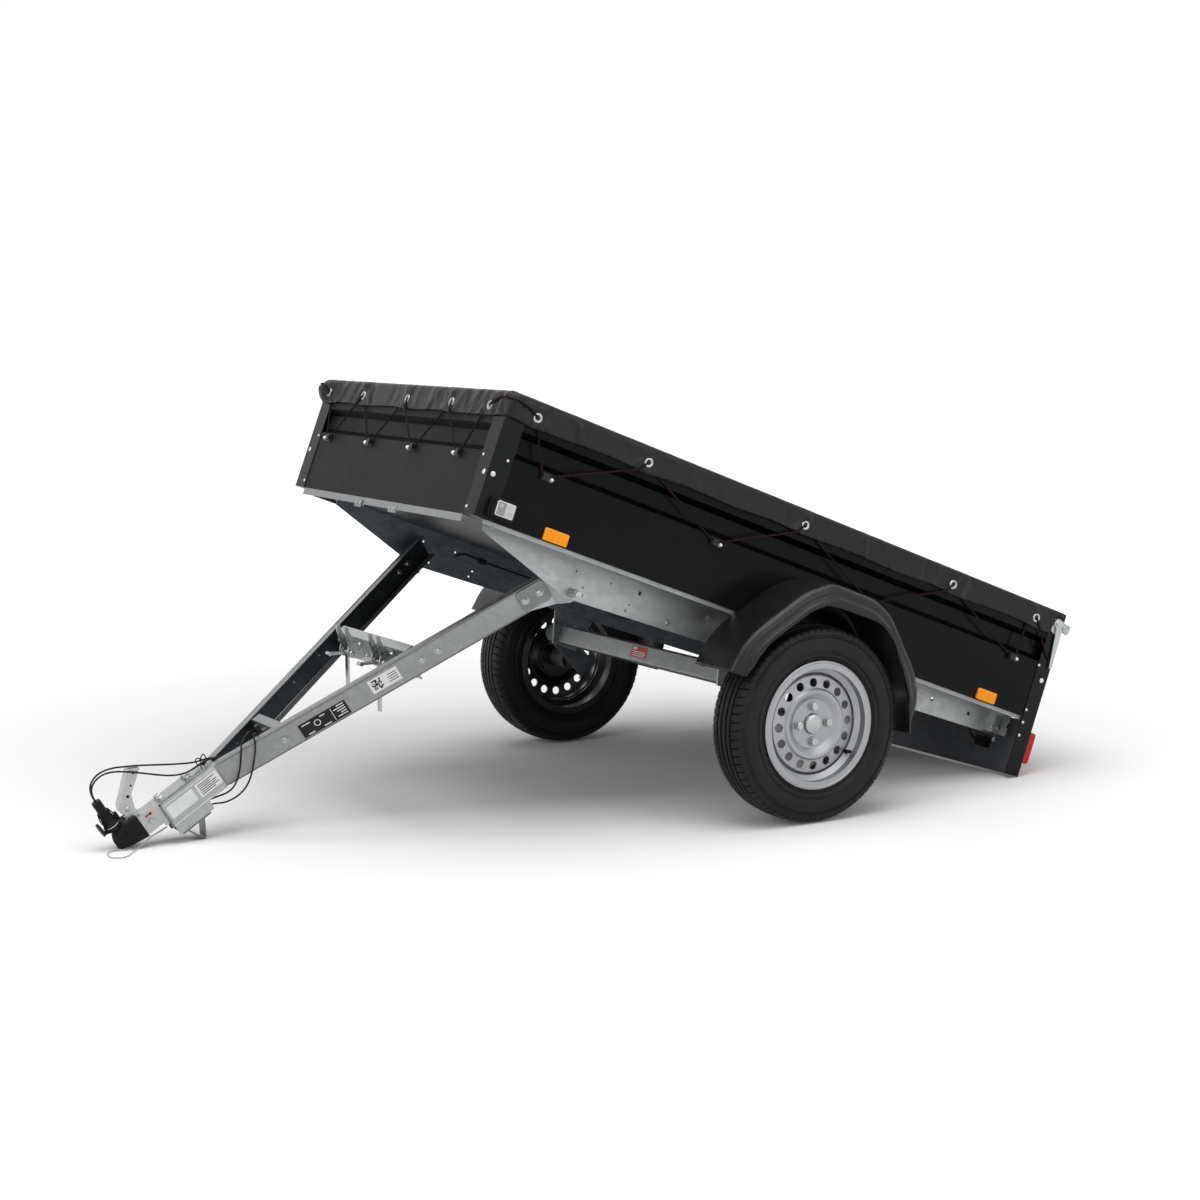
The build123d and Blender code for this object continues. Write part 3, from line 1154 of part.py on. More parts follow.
cover_shell_top = BALL_LEVEL + cover_radius
holder_low = BALL_LEVEL + cup_radius + 2 * SEAT
holder_high = cover_shell_top + HOLDER_RISE
lid_at = PLUG_AT + HOLDER_RADIUS + LID_GAP
with BuildPart() as coupling_cover:
    with BuildSketch(Plane.XZ):
        with BuildLine():
            Polyline(
                (COVER_START, COVER_LOW),
                (BALL_AT, mouth_level - HEAD_WALL),
                (BALL_AT, cover_shell_top),
                (COVER_START, cover_shell_top - RUBBER),
                close=True,
            )
        make_face()
    extrude(amount=cover_radius, both=True)
    with BuildSketch(Plane.XZ):
        with BuildLine():
            cup_section(cover_radius, COVER_LOW)
        make_face()
    revolve(axis=Axis((BALL_AT, 0, 0), (0, 0, 1)))
    with BuildSketch(Plane.XZ):
        with BuildLine():
            Polyline(
                (COVER_START - RUBBER, COVER_LOW - COVER_TRIM),
                (nose_at + RUBBER, mouth_level + COVER_TRIM),
                (nose_at + RUBBER, -COVER_LOW),
                (COVER_START - RUBBER, -COVER_LOW),
                close=True,
            )
        make_face()
    extrude(amount=cover_radius, both=True, mode=Mode.SUBTRACT)
    with BuildSketch(Plane.XZ):
        with BuildLine():
            cup_section(cup_radius + SEAT, 0)
        make_face()
    revolve(axis=Axis((BALL_AT, 0, 0), (0, 0, 1)), mode=Mode.SUBTRACT)
    with BuildSketch(Plane.XZ):
        with BuildLine():
            Polyline(
                (COVER_START - RUBBER, 0),
                (BALL_AT, 0),
                (BALL_AT, BALL_LEVEL + cup_radius + SEAT),
                (COVER_START - RUBBER, BALL_LEVEL + cup_radius - RUBBER + SEAT),
                close=True,
            )
        make_face()
    extrude(amount=HEAD_WIDTH / 2 + SEAT, both=True, mode=Mode.SUBTRACT)
    with BuildSketch(Plane.XY.offset(BALL_LEVEL + cup_radius - 2 * RUBBER)):
        with Locations((LEVER_AT, 0)):
            Rectangle(LEVER_CUT_LENGTH, LEVER_WIDTH + 2 * LEVER_CLEARANCE)
    extrude(amount=4 * RUBBER, mode=Mode.SUBTRACT)
    with BuildSketch(Plane.XY.offset(holder_low)):
        with Locations((PLUG_AT, 0)):
            Circle(HOLDER_RADIUS)
    extrude(amount=holder_high - holder_low)
    with BuildSketch(Plane.YZ.offset(lid_at)):
        with Locations((0, holder_high + LID_RISE)):
            Circle(LID_RADIUS)
    extrude(amount=LID_SHEET)
    with BuildSketch(Plane.XY.offset(holder_low)):
        with Locations((lid_at - LID_GAP / 2, 0)):
            Rectangle(2 * LID_GAP, LID_HINGE_WIDTH)
    extrude(amount=holder_high - holder_low)
keep(coupling_cover.part, "coupling_cover", drawbar_place)

with BuildPart() as coupling_lever:
    with BuildSketch(Plane.XZ):
        with BuildLine():
            Polyline(*LEVER_OUTLINE, close=True)
        make_face()
        fillet(vertices().sort_by(Axis.X)[-2:], LEVER_ROUND)
    extrude(amount=LEVER_WIDTH / 2, both=True)
    with BuildSketch(Plane.XZ):
        with BuildLine():
            Polyline(*LEVER_HOLLOW, close=True)
        make_face()
    extrude(amount=LEVER_WIDTH / 2 - LEVER_SHELL, both=True, mode=Mode.SUBTRACT)
    split(bisect_by=Plane.XY.offset(LEVER_SEAT + SEAT), keep=Keep.TOP)
keep(coupling_lever.part, "coupling_lever", drawbar_place)

# ---- plug, parked in its holder --------------------------------------------------------------
plug_base = holder_high + SEAT
plug_neck = plug_base + PLUG_BODY
plug_end = plug_neck + PLUG_NECK
with BuildPart() as plug:
    with BuildSketch(Plane.XZ):
        with BuildLine():
            Polyline(
                (PLUG_AT, plug_base),
                (PLUG_AT + PLUG_RADIUS + PLUG_COLLAR_STEP, plug_base),
                (PLUG_AT + PLUG_RADIUS + PLUG_COLLAR_STEP, plug_base + PLUG_COLLAR),
                (PLUG_AT + PLUG_RADIUS, plug_base + PLUG_COLLAR),
                (PLUG_AT + PLUG_RADIUS - PLUG_TAPER, plug_neck - PLUG_TAPER),
                (PLUG_AT + PLUG_NECK_RADIUS, plug_neck),
                (PLUG_AT + PLUG_NECK_RADIUS, plug_end),
                (PLUG_AT, plug_end),
                close=True,
            )
        make_face()
    revolve(axis=Axis((PLUG_AT, 0, 0), (0, 0, 1)))
keep(plug.part, "plug", drawbar_place, cord=True)

foot_top = CHANNEL_BOTTOM - SEAT
foot_front = tangent_point((FOOT_FRONT, foot_top), (FOOT_AT, -FOOT_DROP), FOOT_ROUND, -1)
foot_rear = tangent_point((FOOT_REAR, foot_top), (FOOT_AT, -FOOT_DROP), FOOT_ROUND, 1)
with BuildPart() as support_foot:
    with BuildSketch(Plane.XZ):
        with BuildLine():
            Line((FOOT_FRONT, foot_top), foot_front)
            ThreePointArc(foot_front, (FOOT_AT, -FOOT_DROP - FOOT_ROUND), foot_rear)
            Line(foot_rear, (FOOT_REAR, foot_top))
        trace(line_width=FOOT_SHEET)
    extrude(amount=FOOT_WIDTH / 2, both=True)
    with BuildSketch(Plane.XY.offset(foot_top)):
        with Locations(((FOOT_FRONT + FOOT_REAR) / 2, 0)):
            Rectangle(FOOT_FRONT - FOOT_REAR + 2 * FOOT_LAP, 2 * channel_half)
    extrude(amount=-FOOT_SHEET)
    with BuildSketch(Plane.XY.offset(foot_top)):
        with Locations(((FOOT_FRONT + FOOT_REAR) / 2, 0)):
            Rectangle(FOOT_FRONT - FOOT_REAR + 2 * (FOOT_LAP + FOOT_SHEET), 2 * channel_half)
    extrude(amount=FOOT_SHEET, mode=Mode.SUBTRACT)
keep(support_foot.part, "support_foot", drawbar_place)

# ---- cables and wire -------------------------------------------------------------------------
def corner_radii(route):
    """Radius of each corner: as large as the two runs beside it allow."""
    points = [Vector(*point) for point in route]
    runs = [end - start for start, end in zip(points, points[1:])]
    radii = []
    for before, after in zip(runs, runs[1:]):
        half_turn = before.get_angle(after) / 2
        radii.append(0.45 * min(before.length, after.length) / tan(radians(half_turn)))
    return radii


def keep_cord(name, route, radius, place):
    """Sweep a round cord along straight runs joined by tangent arcs."""
    radii = corner_radii(route)
    with BuildPart() as cord:
        with BuildLine():
            path = FilletPolyline(*route, radius=radii)
        with BuildSketch(Plane(origin=path @ 0, z_dir=path % 0)):
            Circle(radius)
        sweep(transition=Transition.RIGHT)
    share = cord.part.volume / (pi * radius**2 * path.length)
    print(name, "length", round(path.length), "volume share", round(share, 4))
    print("   smallest radius", round(min(radii), 1), "in diameters", round(min(radii) / radius / 2, 1))
    keep(cord.part, name, place, cord=True)


def lying(ahead, across):
    """Point of the safety wire where it lies on the floor."""
    rest = (WIRE_RADIUS + SEAT) / cos(drawbar_dip)
    return ahead, across, ahead * tan(drawbar_dip) - pin_z / cos(drawbar_dip) + rest


clip_face = brace_front + CLIP_DEPTH
PLUG_CABLE = [
    (1303, 208),
    (1286, 235),
    (1252, 243),
    (1217, 232),
    (1187, 213.5),
    (1154, 192),
    (1108, 158),
    (1063, 125),
    (1023, 99),
    (988, 87),
    (962, 69),
    (925, 56),
    (880, 47),
    (840, CLIP_LEVEL),
]
SAGGING_CABLE = [
    (1303, 3.3, 206),
    (1288, 6, 230),
    (1258, 12, 240),
    (1226, 18, 232),
    (1189, 22, 203),
    (1150, 20, 165),
    (1117, 12, 131),
    (1088, 7, 107),
    (1058, 4, 92),
    (1024, 3, 88),
    (988, 3.5, 86),
    (960, 3, 66),
    (923, 3.5, 51),
    (880, 3, 46),
    (840, CABLE_APART, CLIP_LEVEL),
]
upper_route = [(ahead, -CABLE_APART, level) for ahead, level in PLUG_CABLE]
upper_route = [(PLUG_AT, -CABLE_APART, plug_end)] + upper_route + [(clip_face, -CABLE_APART, CLIP_LEVEL)]
keep_cord("cable_upper", upper_route, CABLE_RADIUS, drawbar_place)
lower_route = [(PLUG_AT, CABLE_APART, plug_end)] + SAGGING_CABLE + [(clip_face, CABLE_APART, CLIP_LEVEL)]
keep_cord("cable_lower", lower_route, CABLE_RADIUS, drawbar_place)

LOOP_CABLE = [
    (834, LOOP_CLIP_AT, CLIP_LEVEL),
    (845, 56, 63),
    (850, 58, 82),
    (861, 75, 89),
    (868, 88, 84),
    (878, 93, 66),
    (890, 91, 48),
    (906, 86, 27),
    (928, 79, 0),
    (955, 72, -22),
    (990, 61, -33),
    (1026, 50, -29),
    (1050, 33, -16),
    (1078, 25, -11),
    (1098, 24.5, -10),
    (1120, 23, -10.5),
    (1131.5, 11.5, -11),
    (1131.5, -4.5, -11.5),
    (1120, -16, -11),
    (1098, -17, -10.5),
    (1074, -11, -10),
    (1053, 6, -9),
    (1030, 29, -8.5),
    (1008, 46, -11),
    (986, 54, -8),
    (962, 61, 8),
    (940, 68, 34),
    (922, 75, 62),
    (908, 76, 84),
    (888, 62, 92),
    (868, 38, 86),
    (852, 5, 76),
    (848, -24, 66),
    (846, -45, 56),
    (834, -LOOP_CLIP_AT, CLIP_LEVEL),
]
loop_start = (clip_face, LOOP_CLIP_AT, CLIP_LEVEL)
loop_end = (clip_face, -LOOP_CLIP_AT, CLIP_LEVEL)
keep_cord("cable_loop", [loop_start] + LOOP_CABLE + [loop_end], CABLE_RADIUS, drawbar_place)

eye_face = head_rear + WIRE_EYE
WIRE_OUT = [
    (1206, WIRE_EYE_AT + WIRE_APART, WIRE_LEVEL),
    (1236, 29, 18),
    (1266, 36, 18.5),
]
WIRE_ON_FLOOR = [
    (1298, 47),
    (1322, 90),
    (1344, 113),
    (1366, 101),
    (1369, 66),
    (1358, 30),
    (1338, 21),
    (1314, 32),
    (1290, 31),
]
WIRE_BACK = [
    (1264, 26, 14.5),
    (1236, 21, 16),
    (1206, WIRE_EYE_AT - WIRE_APART, WIRE_LEVEL),
]
wire_route = [(eye_face, WIRE_EYE_AT + WIRE_APART, WIRE_LEVEL)] + WIRE_OUT
wire_route += [lying(ahead, across) for ahead, across in WIRE_ON_FLOOR]
wire_route += WIRE_BACK + [(eye_face, WIRE_EYE_AT - WIRE_APART, WIRE_LEVEL)]
keep_cord("safety_wire", wire_route, WIRE_RADIUS, drawbar_place)

box_face = board_front + SEAT + JUNCTION_DEPTH
along_rail = rail_inside - BED_CABLE_RADIUS - SEAT
BOARD_CABLE = [
    (-864, 0, JUNCTION_LEVEL),
    (-840, 3, 142),
    (-812, 16, 158),
    (-782, 31, 172),
]
RAIL_CABLE = [
    (-738, 183),
    (-676, 188),
    (-598, 184),
    (-510, 181),
    (-420, 184),
    (-326, 180),
    (-232, 178),
    (-138, 181),
    (-44, 177),
    (52, 174),
    (146, 177),
    (240, 172),
    (332, 164),
    (418, 152),
    (488, 134),
    (540, 117),
    (580, 114),
    (608, RAIL_CLIP_LEVEL),
    (RAIL_CLIP_AT, RAIL_CLIP_LEVEL),
]
bed_route = [(box_face, junction_at, JUNCTION_LEVEL)]
bed_route += [(ahead, junction_at + across, level) for ahead, across, level in BOARD_CABLE]
bed_route += [(ahead, along_rail, level) for ahead, level in RAIL_CABLE]
keep_cord("bed_cable", bed_route, BED_CABLE_RADIUS, bed_place)

# ---- write every piece, about the middle of the footprint ----------------------------------
boxes = [part.bounding_box() for part, cord in finished.values() if not cord]
middle_x = (min(box.min.X for box in boxes) + max(box.max.X for box in boxes)) / 2
low = min(box.min.Z for box in boxes)
print("origin", middle_x, "lowest", low)
os.makedirs("parts", exist_ok=True)
for name, (part, cord) in finished.items():
    placed = part.moved(Location((-middle_x, 0, 0)))
    placed.label = name
    export_step(placed, "parts/" + name + ".step")
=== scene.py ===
import json
import random
from math import atan, atan2, copysign, cos, exp, hypot, pi, radians, sin, tan

import bmesh
import bpy
from mathutils import Matrix, Vector, noise


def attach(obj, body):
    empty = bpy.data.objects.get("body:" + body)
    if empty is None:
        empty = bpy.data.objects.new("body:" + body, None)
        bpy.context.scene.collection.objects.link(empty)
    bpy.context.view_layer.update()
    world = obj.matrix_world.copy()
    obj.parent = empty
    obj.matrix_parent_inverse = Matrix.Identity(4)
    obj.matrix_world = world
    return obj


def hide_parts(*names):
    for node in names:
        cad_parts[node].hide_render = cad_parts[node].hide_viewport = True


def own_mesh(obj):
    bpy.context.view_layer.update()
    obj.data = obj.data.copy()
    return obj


# Tipping utility trailer, parked with its bed tipped back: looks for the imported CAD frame.
# Metres.  Two local frames are used, as in the CAD source:
#   bed: (forward, left, up) from the wheel axis, tilted with the bed
#   drawbar: (forward, left, up) from the tipping pin, dipped with the drawbar

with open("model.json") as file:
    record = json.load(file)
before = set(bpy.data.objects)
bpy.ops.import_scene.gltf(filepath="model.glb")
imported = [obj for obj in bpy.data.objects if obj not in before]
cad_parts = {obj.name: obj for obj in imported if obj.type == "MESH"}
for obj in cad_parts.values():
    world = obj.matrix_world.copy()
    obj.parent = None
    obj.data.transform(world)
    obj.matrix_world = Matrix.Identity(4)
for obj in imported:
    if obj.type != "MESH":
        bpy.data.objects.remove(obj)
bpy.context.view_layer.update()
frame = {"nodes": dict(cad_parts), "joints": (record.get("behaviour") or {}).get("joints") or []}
joints = {joint["name"]: Vector(joint["pos_m"]) for joint in frame["joints"]}
nodes = frame["nodes"]

PIN_AHEAD = 0.728  # tipping pin in the bed frame
PIN_LEVEL = 0.138
DRAWBAR_DIP = radians(31.8727)
pin = joints["bed_tip"]
wheel = joints["wheel_left_spin"]
bed_tilt = atan2(pin.z - wheel.z, pin.x - wheel.x) - atan2(PIN_LEVEL, PIN_AHEAD)
BED = Matrix.Translation((wheel.x, 0, wheel.z)) @ Matrix.Rotation(-bed_tilt, 4, "Y")
DRAWBAR = Matrix.Translation(pin) @ Matrix.Rotation(DRAWBAR_DIP, 4, "Y")
WORLD = Matrix.Identity(4)
SIDES = (("left", 1), ("right", -1))


def span(node, place=WORLD):
    """Lowest and highest corner of a CAD node in one of the local frames."""
    back = place.inverted()
    corners = [back @ vertex.co for vertex in nodes[node].data.vertices]
    low = Vector([min(corner[axis] for corner in corners) for axis in range(3)])
    high = Vector([max(corner[axis] for corner in corners) for axis in range(3)])
    return low, high


def steps(low, high, count):
    """Evenly spaced numbers from low to high."""
    return [low + (high - low) * index / (count - 1) for index in range(count)]


def corners(line, reach, share):
    """Where rounding starts, the corner itself and where rounding ends, at each inner point of a line."""
    line = [Vector(point) for point in line]
    for before, here, after in zip(line, line[1:], line[2:]):
        back, ahead = before - here, after - here
        size = min(reach, back.length * share, ahead.length * share)
        yield here + back.normalized() * size, here, here + ahead.normalized() * size


def put(name, data):
    """A new object in the scene."""
    made = bpy.data.objects.new(name, data)
    bpy.context.scene.collection.objects.link(made)
    return made


# ---- camera --------------------------------------------------------------------------------
CAMERA_AT = Vector((3.2728, 5.7444, 1.4459))
CAMERA_YAW = radians(30.603)
CAMERA_PITCH = radians(7.301)
CAMERA_ROLL = -0.0064
CAMERA_LENS = 66.93
CAMERA_SHIFT = (-0.0008, -0.0062)


def make_camera():
    flat = cos(CAMERA_PITCH)
    forward = Vector((-sin(CAMERA_YAW) * flat, -cos(CAMERA_YAW) * flat, -sin(CAMERA_PITCH)))
    data = bpy.data.cameras.new("camera")
    data.lens = CAMERA_LENS
    data.sensor_width = 36
    data.shift_x, data.shift_y = CAMERA_SHIFT
    data.clip_end = 100
    camera = put("camera", data)
    camera.rotation_mode = "QUATERNION"
    turn = forward.to_track_quat("-Z", "Y").to_matrix() @ Matrix.Rotation(CAMERA_ROLL, 3, "Z")
    camera.rotation_quaternion = turn.to_quaternion()
    camera.location = CAMERA_AT
    bpy.context.scene.camera = camera


make_camera()
bpy.context.scene.view_settings.view_transform = "Standard"


# ---- nodes of materials and of the world ---------------------------------------------------
MIX_FIRST, MIX_SECOND, MIX_RESULT = 6, 7, 2  # colour sockets of a Mix node


class Nodes:
    """A node tree with helpers that add to it."""

    def __init__(self, tree):
        self.tree = tree

    def feed(self, socket, value):
        """Gives an input a plain value, a colour or the output of another node."""
        if isinstance(value, bpy.types.NodeSocket):
            self.tree.links.new(value, socket)
        elif socket.type == "RGBA":
            socket.default_value = (*value, 1)
        else:
            socket.default_value = value

    def node(self, kind, inputs=(), **settings):
        made = self.tree.nodes.new("ShaderNode" + kind)
        for name, value in settings.items():
            setattr(made, name, value)
        for name, value in dict(inputs).items():
            self.feed(made.inputs[name], value)
        return made

    def maths(self, operation, *values):
        return self.node("Math", dict(enumerate(values)), operation=operation).outputs[0]

    def ramp(self, value, low, high, start=0.0, end=1.0):
        """A number that goes from start to end as value goes from low to high."""
        ends = {"From Min": low, "From Max": high, "To Min": start, "To Max": end}
        return self.node("MapRange", {"Value": value, **ends}).outputs["Result"]

    def mix(self, share, first, second):
        made = self.node("Mix", {0: share, MIX_FIRST: first, MIX_SECOND: second}, data_type="RGBA")
        return made.outputs[MIX_RESULT]

    def own_place(self):
        """Coordinates in the object's own frame."""
        return self.node("TexCoord").outputs["Object"]

    def seen(self):
        """1 for rays from the camera, reflected or through clear things, 0 for the rest."""
        rays = self.node("LightPath").outputs
        seen = self.maths("MAXIMUM", rays["Is Camera Ray"], rays["Is Glossy Ray"])
        return self.maths("MAXIMUM", seen, rays["Is Transmission Ray"])


class Finish(Nodes):
    """A material; its patterns are turned about Y and stretched in the object's own frame."""

    def __init__(self, name, roughness=0.5, metallic=0.0, specular=0.5, coat=0.0, colour=None):
        self.material = bpy.data.materials.new(name)
        self.material.use_nodes = True
        super().__init__(self.material.node_tree)
        self.shader = self.tree.nodes["Principled BSDF"]
        self.relief = None
        self.feed(self.shader.inputs["Roughness"], roughness)
        self.feed(self.shader.inputs["Metallic"], metallic)
        self.feed(self.shader.inputs["Specular IOR Level"], specular)
        self.feed(self.shader.inputs["Coat Weight"], coat)
        if colour:
            self.paint(colour)

    def place(self, stretch, turn):
        turned = self.node("Mapping", {"Vector": self.own_place(), "Rotation": (0, turn, 0)})
        stretched = self.node("Mapping", {"Vector": turned.outputs["Vector"], "Scale": stretch})
        return stretched.outputs["Vector"]

    def noise(self, scale, detail, stretch=(1, 1, 1), turn=0.0):
        inputs = {"Vector": self.place(stretch, turn), "Scale": scale, "Detail": detail, "Roughness": 0.55}
        return self.node("TexNoise", inputs).outputs["Fac"]

    def cells(self, scale, output="Color", stretch=(1, 1, 1), turn=0.0):
        return self.node("TexVoronoi", {"Vector": self.place(stretch, turn), "Scale": scale}).outputs[output]

    def waves(self, scale, direction, distortion=0.0, turn=0.0, profile="SIN"):
        inputs = {"Vector": self.place((1, 1, 1), turn), "Scale": scale, "Distortion": distortion}
        return self.node("TexWave", inputs, bands_direction=direction, wave_profile=profile).outputs["Fac"]

    def facing(self):
        """Direction of the face itself, in the object's own frame."""
        normal = self.node("NewGeometry").outputs["True Normal"]
        ways = {"convert_from": "WORLD", "convert_to": "OBJECT"}
        return self.node("VectorTransform", {0: normal}, vector_type="NORMAL", **ways).outputs[0]

    def folded(self):
        """1 on the sloping folds of the bed's walls, 0 on their upright faces."""
        up = (-sin(bed_tilt), 0, cos(bed_tilt))
        slope = self.node("VectorMath", {0: self.facing(), 1: up}, operation="DOT_PRODUCT").outputs["Value"]
        return self.ramp(self.maths("ABSOLUTE", slope), 0.3, 0.5)

    def hidden_side(self, down=0.9):
        """1 on faces that look towards the middle plane, down on faces that look down, 0 on the others."""
        normal = self.node("SeparateXYZ", {0: self.facing()}).outputs
        side = self.maths("SIGN", self.node("SeparateXYZ", {0: self.own_place()}).outputs["Y"])
        inward = self.ramp(self.maths("MULTIPLY", normal["Y"], side), -0.3, -0.75)
        return self.maths("MAXIMUM", inward, self.ramp(normal["Z"], -0.55, -0.8, 0.0, down))

    def paint(self, colour):
        self.feed(self.shader.inputs["Base Color"], colour)

    def tint_gloss(self, colour):
        self.feed(self.shader.inputs["Specular Tint"], colour)

    def roughen(self, value, start, end, low=0.3, high=0.7):
        self.feed(self.shader.inputs["Roughness"], self.ramp(value, low, high, start, end))

    def bump(self, height, depth, strength=1.0):
        """Adds a layer of bump, depth metres high."""
        inputs = {"Height": height, "Distance": depth, "Strength": strength}
        if self.relief:
            inputs["Normal"] = self.relief
        self.relief = self.node("Bump", inputs).outputs["Normal"]
        self.feed(self.shader.inputs["Normal"], self.relief)


def tinted(tone, red, green, blue):
    return tone * red, tone * green, tone * blue


# ---- materials -----------------------------------------------------------------------------
def galvanised(name="galvanised", tone=0.27, turn=DRAWBAR_DIP, inner=0.20):
    """Zinc coated steel; faces that look inwards or down are painted darker and bluish, down to a share,
    inner, of its brightness, as painted shade.
    """
    made = Finish(name, roughness=0.42, metallic=0.8, specular=0.3)
    flakes = made.cells(95, stretch=(0.45, 1, 1), turn=turn)
    bright = made.mix(flakes, tinted(tone, 0.92, 0.95, 0.96), tinted(tone, 1.10, 1.13, 1.14))
    streaks = made.ramp(made.noise(5, 4, (0.6, 6, 9), turn), 0.45, 0.8)
    outside = made.mix(streaks, bright, tinted(tone, 0.90, 0.93, 0.94))
    # painted shade: the darker, bluish colour taken by faces that look towards the middle plane or down
    shade = tone * inner
    inside = made.mix(flakes, tinted(shade, 0.86, 1, 1.10), tinted(shade, 1.26, 1.45, 1.58))
    made.paint(made.mix(made.hidden_side(), outside, inside))
    made.roughen(made.noise(30, 4), 0.34, 0.52)
    made.bump(made.noise(60, 3, (0.3, 1, 1), turn), 0.0004, 0.5)
    return made.material


def zinc(name="zinc", tone=0.34, metallic=1.0):
    made = Finish(name, roughness=0.3, metallic=metallic)
    made.paint(made.mix(made.noise(28, 4), tinted(tone, 1, 1.03, 1.05), tinted(tone, 1.40, 1.43, 1.43)))
    made.roughen(made.noise(120, 3), 0.22, 0.40)
    made.bump(made.noise(180, 2), 0.0002, 0.4)
    return made.material


def black_sheet(name="black_sheet", tone=0.0038, specular=0.085, roughness=0.16, tint=(0.97, 1.0, 1.04)):
    """Painted sheet with dust on it; its sloping folds are coloured nearly black as painted shade."""
    made = Finish(name, roughness=0.2, specular=specular)
    made.tint_gloss((0.88, 0.94, 1.0))
    dust = made.ramp(made.noise(240, 5), 0.66, 0.74, 0.0, 0.6)
    plain = made.mix(made.noise(2.2, 2), tinted(tone, *tint), tinted(tone * 1.4, *tint))
    dusty = made.mix(dust, plain, tinted(tone, 3, 3, 3))
    # painted shade: the sloping folds of the walls take a nearly black colour
    made.paint(made.mix(made.folded(), dusty, (0.0015, 0.0015, 0.0016)))
    made.roughen(made.noise(9, 5), roughness, roughness + 0.12, high=0.75)
    made.bump(made.noise(420, 2), 0.00012, 0.35)
    return made.material


def black_post():
    made = Finish("black_post", roughness=0.24, specular=0.14)
    made.tint_gloss((0.90, 0.95, 1.0))
    made.paint(made.mix(made.noise(14, 4), (0.0058, 0.0060, 0.0062), (0.0080, 0.0083, 0.0086)))
    made.bump(made.noise(330, 3), 0.0004, 0.6)
    made.bump(made.noise(90, 2), 0.0010, 0.35)
    return made.material


def coated_fabric():
    """Black coated cloth with a fine weave, slight waves and some dust."""
    made = Finish("cover_fabric", roughness=0.34, specular=0.24)
    base = made.mix(made.noise(9, 6), (0.0045, 0.0045, 0.0047), (0.0080, 0.0080, 0.0082))
    dust = made.ramp(made.noise(60, 6), 0.62, 0.8, 0.0, 0.35)
    made.paint(made.mix(dust, base, (0.026, 0.026, 0.026)))
    made.roughen(made.noise(22, 4), 0.27, 0.42)
    made.bump(made.waves(520, "X", turn=bed_tilt), 0.0001, 0.12)
    made.bump(made.waves(520, "Y"), 0.0001, 0.12)
    made.bump(made.noise(14, 3), 0.0016, 0.4)
    return made.material


def guard_plastic():
    made = Finish("guard_plastic", roughness=0.34, specular=0.30)
    made.paint(made.mix(made.noise(12, 4), (0.0045, 0.0045, 0.0048), (0.0075, 0.0075, 0.0078)))
    made.roughen(made.noise(40, 4), 0.27, 0.37)
    made.bump(made.cells(900, "Distance"), 0.0002, 0.5)
    return made.material


def tyre_rubber():
    made = Finish("tyre_rubber", roughness=0.52, specular=0.20)
    base = made.mix(made.noise(18, 5), (0.0055, 0.0055, 0.0057), (0.0095, 0.0092, 0.0092))
    dust = made.ramp(made.noise(70, 6), 0.6, 0.8, 0.0, 0.4)
    made.paint(made.mix(dust, base, (0.028, 0.027, 0.026)))
    made.roughen(made.noise(12, 4), 0.40, 0.62, low=0.35)
    made.bump(made.noise(400, 3), 0.0002, 0.5)
    return made.material


def rim_paint():
    """Silver lacquer; faces of the rim that look inboard are coloured nearly black."""
    made = Finish("rim_paint", roughness=0.34, metallic=0.75, specular=0.3, coat=0.15)
    flake = made.cells(2600)
    outside = made.mix(flake, (0.290, 0.297, 0.308), (0.372, 0.380, 0.392))
    inside = made.mix(flake, (0.014, 0.014, 0.015), (0.022, 0.022, 0.023))
    made.paint(made.mix(made.hidden_side(0.0), outside, inside))
    made.roughen(made.noise(25, 4), 0.30, 0.42)
    made.bump(made.noise(300, 2), 0.0001, 0.3)
    return made.material


def lens(name, colour, deep, scale=260):
    """Moulded lamp or reflector plastic with small prisms under a clear face."""
    made = Finish(name, roughness=0.25, specular=0.2, coat=0.1)
    prisms = made.cells(scale, "Distance", turn=bed_tilt)
    ribs = made.waves(scale / 3.2, "X", turn=bed_tilt, profile="TRI")
    made.paint(made.mix(made.ramp(ribs, 0.35, 0.65), made.mix(prisms, colour, deep), colour))
    made.bump(prisms, 0.0006, 0.5)
    return made.material


def plywood():
    """Dark wood on top, grey film below."""
    made = Finish("plywood", roughness=0.4, specular=0.15)
    grain = made.noise(16, 6, (0.4, 4, 4), bed_tilt)
    wood = made.mix(grain, (0.045, 0.030, 0.024), (0.085, 0.060, 0.047))
    film = made.mix(grain, (0.024, 0.026, 0.029), (0.032, 0.034, 0.038))
    made.paint(made.mix(made.hidden_side(1.0), wood, film))
    made.bump(made.waves(160, "Y", distortion=1.5), 0.0003, 0.4)
    return made.material


def sheath(name="sheath", tone=0.008):
    made = Finish(name, roughness=0.45, specular=0.15)
    made.paint(made.mix(made.noise(50, 4), tinted(tone, 1, 1, 1), tinted(tone, 1.8, 1.8, 1.8)))
    made.bump(made.noise(250, 3), 0.0003, 0.4)
    return made.material


def moulded_rubber():
    made = Finish("moulded_rubber", roughness=0.55, specular=0.12)
    made.paint(made.mix(made.noise(35, 5), (0.0060, 0.0060, 0.0065), (0.0110, 0.0105, 0.0105)))
    made.bump(made.noise(700, 3), 0.0003, 0.5)
    made.bump(made.noise(40, 3), 0.001, 0.25)
    return made.material


def twisted_wire():
    made = Finish("twisted_wire", roughness=0.34, metallic=0.9)
    made.paint(made.mix(made.noise(120, 4), (0.28, 0.28, 0.29), (0.48, 0.48, 0.49)))
    made.bump(made.waves(520, "DIAGONAL"), 0.0006, 0.8)
    return made.material


def plate_face():
    made = Finish("plate_face", roughness=0.4, specular=0.2)
    made.paint(made.mix(made.noise(30, 4), (0.66, 0.67, 0.66), (0.74, 0.74, 0.73)))
    made.bump(made.cells(600, "Distance"), 0.0001, 0.3)
    return made.material


